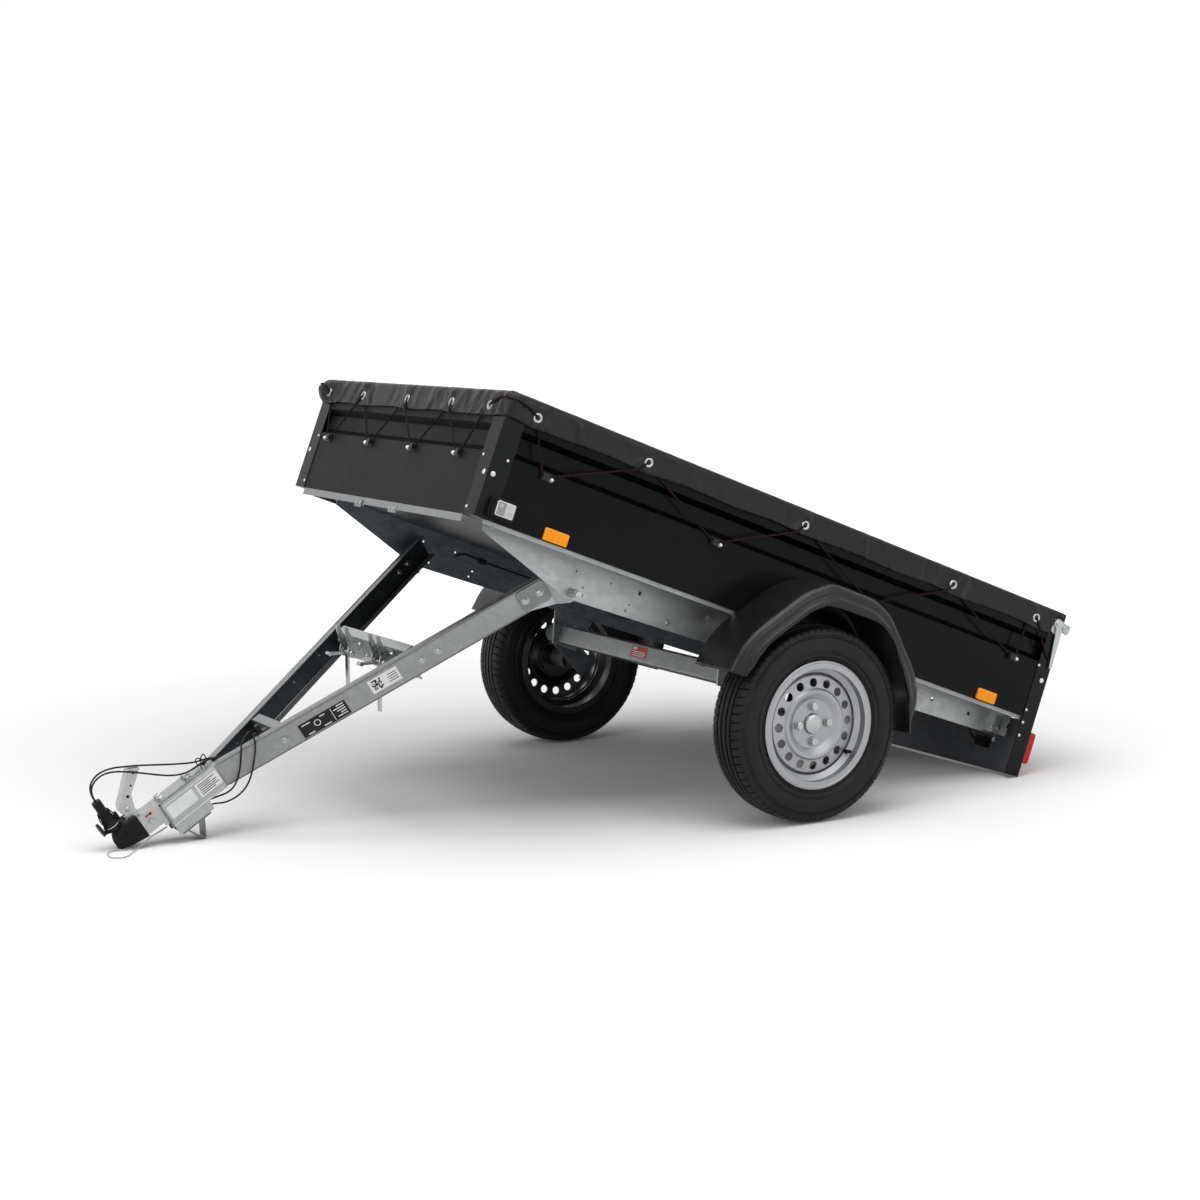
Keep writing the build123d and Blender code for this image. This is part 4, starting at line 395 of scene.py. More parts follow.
def lacing_cord():
    """Black cord with red flecks."""
    made = Finish("lacing_cord", roughness=0.7, specular=0.1)
    flecks = made.ramp(made.cells(1300), 0.74, 0.76)
    made.paint(made.mix(flecks, (0.0045, 0.0040, 0.0040), (0.10, 0.016, 0.014)))
    made.bump(made.waves(700, "DIAGONAL"), 0.0006, 0.7)
    return made.material


MATERIALS = {
    "galvanised": galvanised(),
    "rail_steel": galvanised("rail_steel", 0.38, bed_tilt, 0.38),
    "zinc": zinc(),
    "black_sheet": black_sheet(),
    # the light board is black sheet, made lighter and bluish here as a painted reflection
    "board_sheet_painted_reflection": black_sheet("board_sheet_painted_reflection", 0.085, 0.25, 0.25, (0.95, 1.0, 1.1)),
    # the front wall is the same black sheet, made lighter and brownish here as a painted reflection of the
    # lit front
    "front_sheet_painted_reflection": black_sheet("front_sheet_painted_reflection", 0.0155, 0.06, 0.42, (1.0, 0.99, 0.93)),
    "black_post": black_post(),
    "cover": coated_fabric(),
    "guard": guard_plastic(),
    "tyre": tyre_rubber(),
    "rim": rim_paint(),
    "amber": lens("amber_lens", (0.98, 0.36, 0.006), (0.90, 0.27, 0.004)),
    "lamp_red": lens("red_lens", (0.50, 0.015, 0.012), (0.32, 0.008, 0.008), 190),
    "lamp_white": lens("clear_lens", (0.62, 0.62, 0.62), (0.46, 0.46, 0.47), 150),
    "lamp_grey": lens("grey_lens", (0.30, 0.31, 0.32), (0.22, 0.23, 0.24), 150),
    "floor": plywood(),
    "cable": sheath(),
    "rubber": moulded_rubber(),
    "wire": twisted_wire(),
    "plate": plate_face(),
    "lacing": lacing_cord(),
    "print": sheath("label_print", 0.012),
    "sticker": lens("red_sticker", (0.42, 0.03, 0.03), (0.34, 0.02, 0.02), 400),
    "steel": zinc("worn_steel", 0.13),
    "steel_bright": zinc("bright_steel", 0.52),
    # a darker zinc for the folds of the arms: painted shade
    "steel_fold_painted_shade": zinc("folded_steel_painted_shade", 0.12),
    "screw_head": zinc("screw_head", 0.50, 0.5),
    "bolt_head": zinc("bolt_head", 0.30),
}
NODE_FINISHES = (  # CAD nodes with another finish than their slot's, by the starts of their names
    (("gate_latch", "latch_plates", "tip_latch", "latch_beam", "coupling_lever", "coupling_head"), "zinc"),
    (("rail_", "axle_bracket", "pivot_plate", "coupling_channel"), "rail_steel"),
    (("front_wall",), "front_sheet_painted_reflection"),
    (("light_board",), "board_sheet_painted_reflection"),
    (("support_foot",), "steel"),
)


def dress_nodes():
    for name, node in nodes.items():
        slot = node.data.materials[0].name if node.data.materials else ""
        finish = next((finish for finish in MATERIALS if slot.startswith(finish)), None)
        for starts, own_finish in NODE_FINISHES:
            if name.startswith(starts):
                finish = own_finish
        if finish:
            for index in range(len(node.data.materials)):
                node.data.materials[index] = MATERIALS[finish]


dress_nodes()


# ---- light and floor -----------------------------------------------------------------------
AMBIENT = 0.39
FLOOR_HALF = 40.0
FLOOR_DROP = 0.0005


def make_world():
    world = bpy.data.worlds.new("studio")
    bpy.context.scene.world = world
    world.use_nodes = True
    made = Nodes(world.node_tree)
    background = world.node_tree.nodes["Background"].inputs
    made.feed(background["Color"], (1, 1, 1))
    made.feed(background["Strength"], made.ramp(made.seen(), 0.0, 1.0, AMBIENT, 1.0))


def make_floor():
    """A pale floor with soft shadows, which turns white away from the trailer."""
    half = FLOOR_HALF
    mesh = bpy.data.meshes.new("studio_floor")
    mesh.from_pydata([(-half, -half, 0), (half, -half, 0), (half, half, 0), (-half, half, 0)], [], [range(4)])
    floor = put("studio_floor", mesh)
    floor.location.z = -FLOOR_DROP
    made = Finish("floor_white", roughness=0.9, specular=0.0, colour=(0.86, 0.86, 0.86))
    away = made.node("VectorMath", {0: made.own_place()}, operation="LENGTH").outputs["Value"]
    fill = made.ramp(away, 1.3, 4.5, 0.02, 0.75)
    made.feed(made.shader.inputs["Emission Color"], (1, 1, 1))
    made.feed(made.shader.inputs["Emission Strength"], made.maths("MULTIPLY", made.seen(), fill))
    mesh.materials.append(made.material)


def make_lamp(name, at, aim, size, power):
    data = bpy.data.lights.new(name, "AREA")
    data.shape = "RECTANGLE"
    data.size, data.size_y = size
    data.energy = power
    lamp = put(name, data)
    lamp.location = at
    lamp.rotation_mode = "QUATERNION"
    lamp.rotation_quaternion = (Vector(aim) - Vector(at)).to_track_quat("-Z", "Y")
    lamp.visible_camera = False


make_world()
make_floor()
make_lamp("top_light", (0.2, 1.0, 4.6), (0, 0.2, 0.3), (4.5, 4.0), 170)
make_lamp("front_light", (4.4, 1.2, 2.6), (0.3, 0, 0.5), (2.4, 2.4), 60)
make_lamp("side_light", (-1.8, 4.6, 2.6), (-0.4, 0, 0.4), (3.0, 2.4), 40)


# ---- shapes --------------------------------------------------------------------------------
PLACES = {"bed": BED, "tailgate": BED, "drawbar": DRAWBAR, "wheel_left": WORLD, "wheel_right": WORLD}
SUNK = -0.0008  # foot of a screw or rivet head, below the surface it sits on


class Shape:
    """A mesh in the making, in one of the local frames."""

    def __init__(self):
        self.mesh = bmesh.new()

    def row(self, points):
        return [self.mesh.verts.new(point) for point in points]

    def bridge(self, near, far):
        """Faces between two rings of vertices."""
        for index in range(len(near)):
            after = (index + 1) % len(near)
            self.mesh.faces.new((near[index], near[after], far[after], far[index]))

    def sheet(self, rows):
        """An open surface through rows of vertices."""
        for near, far in zip(rows, rows[1:]):
            for index in range(len(near) - 1):
                self.mesh.faces.new((near[index], far[index], far[index + 1], near[index + 1]))

    def skin(self, rings, loop=False):
        """A closed surface through rings of points, which have as many points each."""
        rows = [self.row(ring) for ring in rings]
        for near, far in list(zip(rows, rows[1:])) + ([(rows[-1], rows[0])] if loop else []):
            self.bridge(near, far)
        if not loop:
            self.mesh.faces.new(rows[0][::-1])
            self.mesh.faces.new(rows[-1])

    def lathe(self, outline, at, axis, sides=24, turn=0.0, loop=False):
        """Turns an outline of (along, radius) about an axis through a point."""
        spin = Vector(axis).to_track_quat("Z", "Y")
        angles = [2 * pi * index / sides + turn for index in range(sides)]
        rings = []
        for along, radius in outline:
            ring = [Vector((radius * cos(angle), radius * sin(angle), along)) for angle in angles]
            rings.append([Vector(at) + spin @ point for point in ring])
        self.skin(rings, loop)

    def ring(self, at, axis, radius, thickness, sides=28, flat=1.0):
        """A ring of round section, flattened along its axis."""
        angles = [2 * pi * index / 10 for index in range(10)]
        outline = [(flat * thickness * sin(angle), radius - thickness * cos(angle)) for angle in angles]
        self.lathe(outline, at, axis, sides, loop=True)

    def prism(self, outline, low, high, across="Y"):
        """An outline of two coordinates, drawn out along the third axis."""
        order = {"X": (2, 0, 1), "Y": (0, 2, 1), "Z": (0, 1, 2)}[across]
        rings = [[(*point, level) for point in outline] for level in (low, high)]
        self.skin([[[numbers[index] for index in order] for numbers in ring] for ring in rings])

    def box(self, low, high):
        outline = [(low[0], low[1]), (high[0], low[1]), (high[0], high[1]), (low[0], high[1])]
        self.prism(outline, low[2], high[2], "Z")

    def side_box(self, sign, along, across, levels, corner=0.0):
        """A block on one side of the middle plane: places along it, distances from it, and levels."""
        y0, y1 = sorted(sign * distance for distance in across)
        if not corner:
            return self.box((along[0], y0, levels[0]), (along[1], y1, levels[1]))
        outline = []
        left, right = along[0] + corner, along[1] - corner
        bottom, top = levels[0] + corner, levels[1] - corner
        for quarter, (x, z) in enumerate(((right, top), (left, top), (left, bottom), (right, bottom))):
            for turn in steps(quarter * pi / 2, (quarter + 1) * pi / 2, 5):
                outline.append((x + corner * cos(turn), z + corner * sin(turn)))
        return self.prism(outline, y0, y1)

    def tube(self, points, radius, sides=8, loop=False):
        """A round bar along points."""
        points = [Vector(point) for point in points]
        side = None
        rings = []
        for index, point in enumerate(points):
            before = points[index - 1] if loop or index else point
            after = points[(index + 1) % len(points)] if loop or index < len(points) - 1 else point
            along = (after - before).normalized()
            side = side or along.orthogonal().normalized()
            side = (side - along * side.dot(along)).normalized()
            other = along.cross(side)
            angles = [2 * pi * step / sides for step in range(sides)]
            rings.append([point + radius * (cos(angle) * side + sin(angle) * other) for angle in angles])
        self.skin(rings, loop)

    def rivet(self, at, axis, radius, height):
        """A low domed head on a surface."""
        dome = [(height * (0.25 + 0.75 * sin(a)), radius * cos(a)) for a in (0.5, 0.95, 1.3)]
        self.lathe([(SUNK, radius), (height * 0.25, radius)] + dome, at, axis, 16)

    def bolt(self, at, axis, radius, height, washer=True, turn=0.0):
        """A hexagonal head with its washer; radius is to the corners."""
        start = 0.0
        if washer:
            self.lathe([(SUNK, radius * 1.22), (0.0016, radius * 1.22)], at, axis)
            start = 0.0012
        outline = [(start, radius * 0.97), (start + height * 0.8, radius), (start + height, radius * 0.86)]
        self.lathe(outline, at, axis, 6, turn)

    def piece(self, name, finish, body, place=None, bevel=0.0, smooth=35):
        """Makes the object, puts it in its place and lets it ride on its body."""
        bmesh.ops.recalc_face_normals(self.mesh, faces=self.mesh.faces)
        data = bpy.data.meshes.new(name)
        self.mesh.to_mesh(data)
        self.mesh.free()
        data.transform(place or PLACES[body])
        data.shade_smooth()
        data.set_sharp_from_angle(angle=radians(smooth))
        data.materials.append(MATERIALS[finish])
        made = put(name, data)
        if bevel:
            edge = made.modifiers.new("edge", "BEVEL")
            edge.width = bevel
            edge.segments = 2
            edge.limit_method = "ANGLE"
            edge.angle_limit = radians(50)
        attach(made, body)
        return made


def thicken(piece, thickness):
    """Gives a surface its thickness, inwards."""
    thick = piece.modifiers.new("thickness", "SOLIDIFY")
    thick.thickness = thickness
    thick.offset = -1


# ---- cords ---------------------------------------------------------------------------------
CABLE = 0.0025  # radii of the loose cords
WIRE = 0.0015
BED_CABLE = 0.0035
CABLE_APART = 0.0033
ALONG_RAIL = 0.4707  # bed cable's middle where it runs along the rail
CLIP_FACE = 0.816  # front of the cross brace's clips
CLIP_LEVEL = 0.048
LOOP_CLIP = 0.058
PLUG_AT = 1.303
plug_top = span("plug", DRAWBAR)[1].z


def lying(ahead, across):
    """Point of the safety wire where it lies on the floor, in the drawbar frame."""
    rest = (WIRE + 0.0003) / cos(DRAWBAR_DIP)
    return ahead, across, ahead * tan(DRAWBAR_DIP) - pin.z / cos(DRAWBAR_DIP) + rest


upper_route = [(ahead, -CABLE_APART, level) for ahead, level in (
    (CLIP_FACE, CLIP_LEVEL), (0.840, CLIP_LEVEL), (0.880, 0.047), (0.925, 0.056), (0.962, 0.069),
    (0.988, 0.087), (1.023, 0.099), (1.063, 0.125), (1.108, 0.158), (1.154, 0.192), (1.187, 0.2135),
    (1.217, 0.232), (1.252, 0.243), (1.286, 0.235), (1.303, 0.208), (PLUG_AT, plug_top),
)]
lower_route = [
    (CLIP_FACE, CABLE_APART, CLIP_LEVEL), (0.840, CABLE_APART, CLIP_LEVEL), (0.880, 0.003, 0.046),
    (0.923, 0.0035, 0.051), (0.960, 0.003, 0.066), (0.988, 0.0035, 0.086), (1.024, 0.003, 0.088),
    (1.058, 0.004, 0.092), (1.088, 0.007, 0.107), (1.117, 0.012, 0.131), (1.150, 0.020, 0.165),
    (1.189, 0.022, 0.203), (1.226, 0.018, 0.232), (1.258, 0.012, 0.240), (1.288, 0.006, 0.230),
    (1.303, 0.0033, 0.206), (PLUG_AT, CABLE_APART, plug_top),
]
loop_route = [
    (CLIP_FACE, LOOP_CLIP, CLIP_LEVEL), (0.834, LOOP_CLIP, CLIP_LEVEL), (0.845, 0.056, 0.063),
    (0.850, 0.058, 0.082), (0.861, 0.075, 0.089), (0.868, 0.088, 0.084), (0.878, 0.093, 0.066),
    (0.890, 0.091, 0.048), (0.906, 0.086, 0.027), (0.928, 0.079, 0), (0.955, 0.072, -0.022),
    (0.990, 0.061, -0.033), (1.026, 0.050, -0.029), (1.050, 0.033, -0.016), (1.078, 0.025, -0.011),
    (1.098, 0.0245, -0.010), (1.120, 0.023, -0.0105), (1.1315, 0.0115, -0.011), (1.1315, -0.0045, -0.0115),
    (1.120, -0.016, -0.011), (1.098, -0.017, -0.0105), (1.074, -0.011, -0.010), (1.053, 0.006, -0.009),
    (1.030, 0.029, -0.0085), (1.008, 0.046, -0.011), (0.986, 0.054, -0.008), (0.962, 0.061, 0.008),
    (0.940, 0.068, 0.034), (0.922, 0.075, 0.062), (0.908, 0.076, 0.084), (0.888, 0.062, 0.092),
    (0.868, 0.038, 0.086), (0.852, 0.005, 0.076), (0.848, -0.024, 0.066), (0.846, -0.045, 0.056),
    (0.834, -LOOP_CLIP, CLIP_LEVEL), (CLIP_FACE, -LOOP_CLIP, CLIP_LEVEL),
]
wire_route = [
    (1.188, 0.0245, 0.010), (1.206, 0.0245, 0.010), (1.236, 0.029, 0.018), (1.266, 0.036, 0.0185),
    lying(1.298, 0.047), lying(1.322, 0.090), lying(1.344, 0.113), lying(1.366, 0.101), lying(1.369, 0.066),
    lying(1.358, 0.030), lying(1.338, 0.021), lying(1.314, 0.032), lying(1.290, 0.031),
    (1.264, 0.026, 0.0145), (1.236, 0.021, 0.016), (1.206, 0.0195, 0.010), (1.188, 0.0195, 0.010),
]
bed_route = [
    (-0.885, 0.421, 0.134), (-0.864, 0.421, 0.134), (-0.840, 0.424, 0.142), (-0.812, 0.437, 0.158),
    (-0.782, 0.452, 0.172),
]
bed_route += [(ahead, ALONG_RAIL, level) for ahead, level in (
    (-0.738, 0.183), (-0.676, 0.188), (-0.598, 0.184), (-0.510, 0.181), (-0.420, 0.184), (-0.326, 0.180),
    (-0.232, 0.178), (-0.138, 0.181), (-0.044, 0.177), (0.052, 0.174), (0.146, 0.177), (0.240, 0.172),
    (0.332, 0.164), (0.418, 0.152), (0.488, 0.134), (0.540, 0.117), (0.580, 0.114), (0.608, 0.127),
    (0.632, 0.127),
)]


def make_cord(node, route, body, radius, finish="cable"):
    """A round cord along one smooth spline whose control points are given."""
    points = [PLACES[body] @ Vector(point) for point in route]
    data = bpy.data.curves.new(node + "_line", "CURVE")
    data.dimensions = "3D"
    data.bevel_depth = radius
    data.bevel_resolution = 4
    data.resolution_u = 8
    data.use_fill_caps = True
    data.materials.append(MATERIALS[finish])
    spline = data.splines.new("NURBS")
    spline.points.add(len(points) - 1)
    for control, point in zip(spline.points, points):
        control.co = (*point, 1)
    spline.order_u = 3
    spline.use_endpoint_u = True
    cord = put(node + "_line", data)
    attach(cord, body)
    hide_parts(node)
    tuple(points[0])


make_cord("cable_upper", upper_route, "drawbar", CABLE)
make_cord("cable_lower", lower_route, "drawbar", CABLE)
make_cord("cable_loop", loop_route, "drawbar", CABLE)
make_cord("safety_wire", wire_route, "drawbar", WIRE, finish="wire")
make_cord("bed_cable", bed_route, "bed", BED_CABLE)


# ---- cover ---------------------------------------------------------------------------------
SIDE_EYELETS = (1.057, 0.689, 0.128, -0.454, -0.805)
FRONT_EYELETS = (-0.535, -0.305, -0.007, 0.271, 0.497)
REAR_EYELETS = (-0.480, -0.240, 0.0, 0.240, 0.480)
EYELETS = {"near": SIDE_EYELETS, "far": SIDE_EYELETS, "front": FRONT_EYELETS}
OUTWARD = {name: Vector(way) for name, way in (
    ("front", (1, 0, 0)), ("rear", (-1, 0, 0)), ("near", (0, 1, 0)), ("far", (0, -1, 0)),
)}
EYELET_LEVEL = 0.535
EYELET_RADIUS = 0.0105
EYELET_BAND = 0.0034
COVER_ROUND = 0.012  # rounding of the cover over the top of the walls
COVER_STEP = 0.0087
COVER_CORNER = 0.024
COVER_OFF = 0.0008  # least distance of the cloth from the soft solid it stands for
CORNER_CUT = 0.062  # cut-out over the tailgate latches
CORNER_DEPTH = 0.016
FABRIC = 0.0013
cover_low, cover_high = span("cover", BED)
SKIRT = cover_high.z - cover_low.z


def make_folds(side, low, high, many, turn):
    """Creases of the skirt: place along the side, lean, width, height, and how far they reach inward."""
    folds = []
    for eyelet in EYELETS[side]:
        for lean in (-1.1, -0.5, 0.4, 1.0):
            size = turn.uniform(0.0016, 0.0034)
            folds.append((eyelet + turn.uniform(-0.01, 0.01) - 0.03 * lean, lean + turn.uniform(-0.2, 0.2),
                          turn.uniform(0.0055, 0.0090), size, turn.uniform(0.012, 0.03)))
    for _ in range(many):
        folds.append((turn.uniform(low, high), turn.uniform(-1.1, 0.4), turn.uniform(0.0055, 0.0110),
                      turn.uniform(-0.0034, 0.0034), turn.uniform(0.01, 0.035)))
    return folds


fold_turn = random.Random(11)
SEAMS = [(0.640, 0.05, 0.0016, 0.0035, 0.3), (0.643, 0.05, 0.0016, -0.0030, 0.3),
         (0.245, -0.2, 0.0030, -0.0040, 0.01), (1.020, 0.1, 0.0018, 0.0035, 0.02)]
FOLDS = {
    "front": make_folds("front", -0.58, 0.58, 44, fold_turn),
    "near": make_folds("near", -0.92, 1.13, 34, fold_turn) + SEAMS,
    "far": make_folds("far", -0.92, 1.13, 34, fold_turn) + SEAMS,
}


def hump(off, width):
    """1 in the middle of a place, and less beyond its width."""
    return exp(-((off / width) ** 2))


def crease(side, along, drop):
    """How far the fabric stands proud at a place; drop is below the edge, or negative inward of it."""
    total = 0.0
    for place, lean, width, size, reach in FOLDS[side]:
        off = along - place - lean * max(drop, 0.0)
        if abs(off) < 3 * width:
            fade = exp(drop / reach) * 0.35 if drop < 0 else min(1.0, 0.35 + 0.65 * drop / 0.02)
            total += size * hump(off, width) * fade
    return total


def stand_out(side, along, drop):
    """How far the skirt stands off the walls: little at the eyelets, and in rolls at the front corners."""
    level = cover_high.z - EYELET_LEVEL
    off = min(hypot(along - place, drop - level) for place in EYELETS[side])
    reach = cover_high.y - abs(along) if side == "front" else cover_high.x - along
    far = side == "far" or (side == "front" and along < 0)
    corner = hump(reach, 0.055) * sin(pi * min(1.0, drop / SKIRT)) ** 0.8
    folds = 0.0028 * sin(150 * reach - 70 * drop) + 0.0016 * sin(370 * reach + 30 * drop)
    roll = corner * ((0.030 if far else 0.011) + folds)
    return 1.25 * crease(side, along, drop) * (1 - hump(off, 0.022)) + roll + 0.02 * drop


def skirt_point(side, along, level, lift=0.0):
    """A point on the skirt, lifted off it."""
    out = stand_out(side, along, cover_high.z - level) + COVER_OFF + lift
    if side == "front":
        return Vector((cover_high.x + out, along, level))
    return Vector((along, (cover_high.y + out) * (1 if side == "near" else -1), level))


def corner_point(side, level, lift):
    """A point on the skirt in the middle of a rounded front corner, lifted off it."""
    out = stand_out(side, cover_high.x, cover_high.z - level) + COVER_OFF + lift + COVER_CORNER
    across = cover_high.y - COVER_CORNER + out * sin(pi / 4)
    ahead = cover_high.x - COVER_CORNER + out * cos(pi / 4)
    return Vector((ahead, across if side == "near" else -across, level))


def rounded(u, y, half_u, half_y, radius, normal):
    """Moves a point of a rectangle's edge to where the corners are round; adds its outward direction."""
    over = Vector((abs(u) - (half_u - radius), abs(y) - (half_y - radius), 0))
    if over.x > 0 and over.y > 0:
        over.normalize()
        normal = Vector((copysign(over.x, u), copysign(over.y, y), 0))
        u = copysign(half_u - radius, u) + normal.x * radius
        y = copysign(half_y - radius, y) + normal.y * radius
    return u, y, normal


def skirt_depth(side, u, along):
    """Length of the skirt below the top of the cover, with slack between the eyelets."""
    if side == "rear" or (side != "front" and u < cover_low.x + CORNER_CUT):
        return CORNER_DEPTH
    near = min(abs(along - eyelet) for eyelet in EYELETS[side])
    return SKIRT - 0.004 + 0.004 * hump(near, 0.05) + 0.002 * sin(21 * along)


def cover_height(u, y, inner_u, inner_y, along):
    """Level of the cover's top, which sags a little between the walls."""
    edges = {"front": (inner_u - u, y), "near": (inner_y - y, along), "far": (inner_y + y, along)}
    lift = 0.35 * sum(crease(side, place, -inward) for side, (inward, place) in edges.items())
    middle = min(1.0, min(inward for inward, _ in edges.values()) / 0.12, (u + inner_u) / 0.12)
    slow = noise.noise((u * 1.7, y * 2.3, 0.5)) * 0.006 + noise.noise((u * 6, y * 5, 3.0)) * 0.0022
    return cover_high.z + lift - 0.006 * max(0.0, middle) ** 2 + middle * slow


def make_cover():
    """A top of square cells, and rows of points that bend over its border and go down the walls."""
    middle_u = (cover_low.x + cover_high.x) / 2
    inner_u, inner_y = (cover_high.x - cover_low.x) / 2 - COVER_ROUND, cover_high.y - COVER_ROUND
    count_u, count_y = round(2 * inner_u / COVER_STEP), round(2 * inner_y / COVER_STEP)
    across_u, across_y = steps(-inner_u, inner_u, count_u + 1), steps(-inner_y, inner_y, count_y + 1)
    shape = Shape()
    grid = []
    for u in across_u:
        along = u + middle_u
        grid.append(shape.row((along, y, cover_height(u, y, inner_u, inner_y, along)) for y in across_y))
    shape.sheet(grid)
    border = [(i, 0) for i in range(count_u)] + [(count_u, j) for j in range(count_y)]
    border += [(i, count_y) for i in range(count_u, 0, -1)] + [(0, j) for j in range(count_y, 0, -1)]
    bend = [(COVER_ROUND * sin(a), COVER_ROUND * (1 - cos(a))) for a in steps(pi / 8, pi / 2, 4)]
    upper = [grid[i][j] for i, j in border]
    for row in range(len(bend) + 9):
        lower = []
        for i, j in border:
            side = "front" if i == count_u else "rear" if i == 0 else "near" if j == count_y else "far"
            along = across_y[j] if side == "front" else across_u[i] + middle_u
            if row < len(bend):
                out, drop = bend[row]
            else:
                depth = skirt_depth(side, across_u[i] + middle_u, along) - COVER_ROUND
                out, drop = COVER_ROUND, COVER_ROUND + depth * (row - len(bend) + 1) / 9
            wide_u, wide_y = inner_u + out, inner_y + out
            u, y = across_u[i] * wide_u / inner_u, across_y[j] * wide_y / inner_y
            u, y, normal = rounded(u, y, wide_u, wide_y, COVER_CORNER * out / COVER_ROUND, OUTWARD[side])
            along = y if side == "front" else u + middle_u
            proud = (stand_out(side, along, drop) if side != "rear" else 0.0) + COVER_OFF
            lower.append(Vector((u + middle_u, y, cover_high.z - drop)) + normal * proud)
        lower = shape.row(lower)
        shape.bridge(upper, lower)
        upper = lower
    cover = shape.piece("cover_cloth", "cover", "bed", smooth=180)
    thicken(cover, FABRIC)
    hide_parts("cover")


def roll_up(piece):
    """Gives a piece its own copy of its mesh."""
    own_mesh(piece)


def make_flap():
    """The flap over the tailgate, hanging down over it."""
    low, high = span("cover_rear_flap", BED)
    shape = Shape()
    rows = []
    for y in steps(low.y, high.y, 111):
        slack = 0.002 * (1 - hump(min(abs(y - eyelet) for eyelet in REAR_EYELETS), 0.05))
        row = []
        for drop in steps(0.0, high.z - low.z, 9):
            out = 0.0022 * noise.noise((y * 26, drop * 11, 7.0)) + slack * drop / 0.07
            row.append((low.x - 0.001 - out, y, high.z - drop))
        rows.append(shape.row(row))
    shape.sheet(rows)
    flap = shape.piece("cover_flap_cloth", "cover", "bed", smooth=180)
    thicken(flap, FABRIC)
    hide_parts("cover_rear_flap")
    roll_up(flap)


def make_eyelets(side, places):
    shape = Shape()
    for at in places:
        shape.ring(at, OUTWARD[side], EYELET_RADIUS, EYELET_BAND, flat=0.55)
    return shape.piece("eyelets_" + side, "zinc", "bed")


make_cover()
make_flap()
for skirt_side, places in EYELETS.items():
    make_eyelets(skirt_side, [skirt_point(skirt_side, along, EYELET_LEVEL, 0.0006) for along in places])
roll_up(make_eyelets("rear", [(cover_low.x - 0.0032, y, EYELET_LEVEL) for y in REAR_EYELETS]))


# ---- lacing --------------------------------------------------------------------------------
LACING = 0.0027
HOOK_LEVEL = 0.400
SIDE_HOOKS = (0.980, 0.405, -0.176, -0.756)
FRONT_HOOKS = (-0.453, -0.164, 0.119, 0.400)
REAR_HOOKS = (-0.360, -0.120, 0.120, 0.360)
HEM_LEVEL = 0.509
UNDER_HEM = 0.001  # inside of the skirt, where the cord goes up behind it
BEHIND_CLAW = 0.0075  # middle of the cord, from the wall that a hook is on
WALL_FACE = span("side_wall_left", BED)[1].y
FRONT_FACE = span("front_wall", BED)[1].x
POST_FACE = span("front_post_left", BED)[1].y
POST_FRONT = span("front_post_left", BED)[1].x
GATE_FACE = -0.923
LACE_FACE = 0.5961  # middle of the cord where it passes a side hook
LACE_END = ((0.075, 0.5945, 0.445), (0.112, 0.5945, 0.418), (0.1235, 0.589, 0.413))  # past the last eyelet


def hook(shape, screws, at, along, out):
    """A moulded hook with its round screw beside it."""
    at, along, out, up = Vector(at), Vector(along), Vector(out), Vector((0, 0, 1))
    for start, inner, outer, bottom, top in (
        (-0.027, -0.0005, 0.004, -0.014, 0.008),
        (-0.008, 0.003, 0.013, -0.002, 0.006),
        (-0.008, 0.0104, 0.0138, -0.013, 0.006),
    ):
        ring = [along * a + up * w for a, w in ((start, bottom), (0.011, bottom), (0.011, top), (start, top))]
        shape.skin([[at + point + out * level for point in ring] for level in (inner, outer)])
    screws.rivet(at - along * 0.019 - up * 0.006 + out * 0.004, out, 0.0066, 0.012)


def make_hooks(name, screw_name, body, rows):
    hooks, screws = Shape(), Shape()
    for places, along, out in rows:
        for at in places:
            hook(hooks, screws, at, along, out)
    hooks.piece(name, "guard", body, bevel=0.0012)
    screws.piece(screw_name, "screw_head", body)


def strand(shape, points):
    """A stretch of the cord with its corners rounded."""
    path = [points[0]]
    for start, here, end in corners(points, 0.008, 1 / 3):
        path += [start, (start + end + 2 * here) / 4, end]
    shape.tube(path + [points[-1]], LACING)


def out_of_eyelet(side, place, lean, reach):
    """From an eyelet to the hem: the cord is lean along the side at the one and reach at the other."""
    return [skirt_point(side, place, EYELET_LEVEL, -0.006),
            skirt_point(side, place + lean, EYELET_LEVEL - 0.003, LACING),
            skirt_point(side, place + reach, HEM_LEVEL, LACING)]


def round_hook(place, way):
    """Places along the wall and levels of the cord round a hook, one way or the other."""
    return [(place - way * 0.012, HOOK_LEVEL - 0.001), (place, HOOK_LEVEL - 0.0055),
            (place + way * 0.012, HOOK_LEVEL - 0.001)]


def lace_side(shape, side, sign):
    """The cord along one side, from the front corner to the rear post."""
    under = sign * (cover_high.y - UNDER_HEM)
    for index, hook_u in enumerate(SIDE_HOOKS):
        start = SIDE_EYELETS[index] - (0.008, 0.030, 0.032, 0.024)[index]
        end = SIDE_EYELETS[index + 1]
        points = [(start, under, HEM_LEVEL + 0.006)]
        points += [(u, sign * LACE_FACE, w) for u, w in round_hook(hook_u, -1)]
        if index < len(SIDE_HOOKS) - 1:
            points += out_of_eyelet(side, end, 0.004, 0.022)[::-1]
        else:
            points.append((end + 0.028, under, HEM_LEVEL + 0.006))
        strand(shape, points)
    rear = SIDE_EYELETS[-1]
    to_post = [(rear - ahead, sign * across, level) for ahead, across, level in LACE_END]
    strand(shape, out_of_eyelet(side, rear, -0.004, -0.022) + to_post)


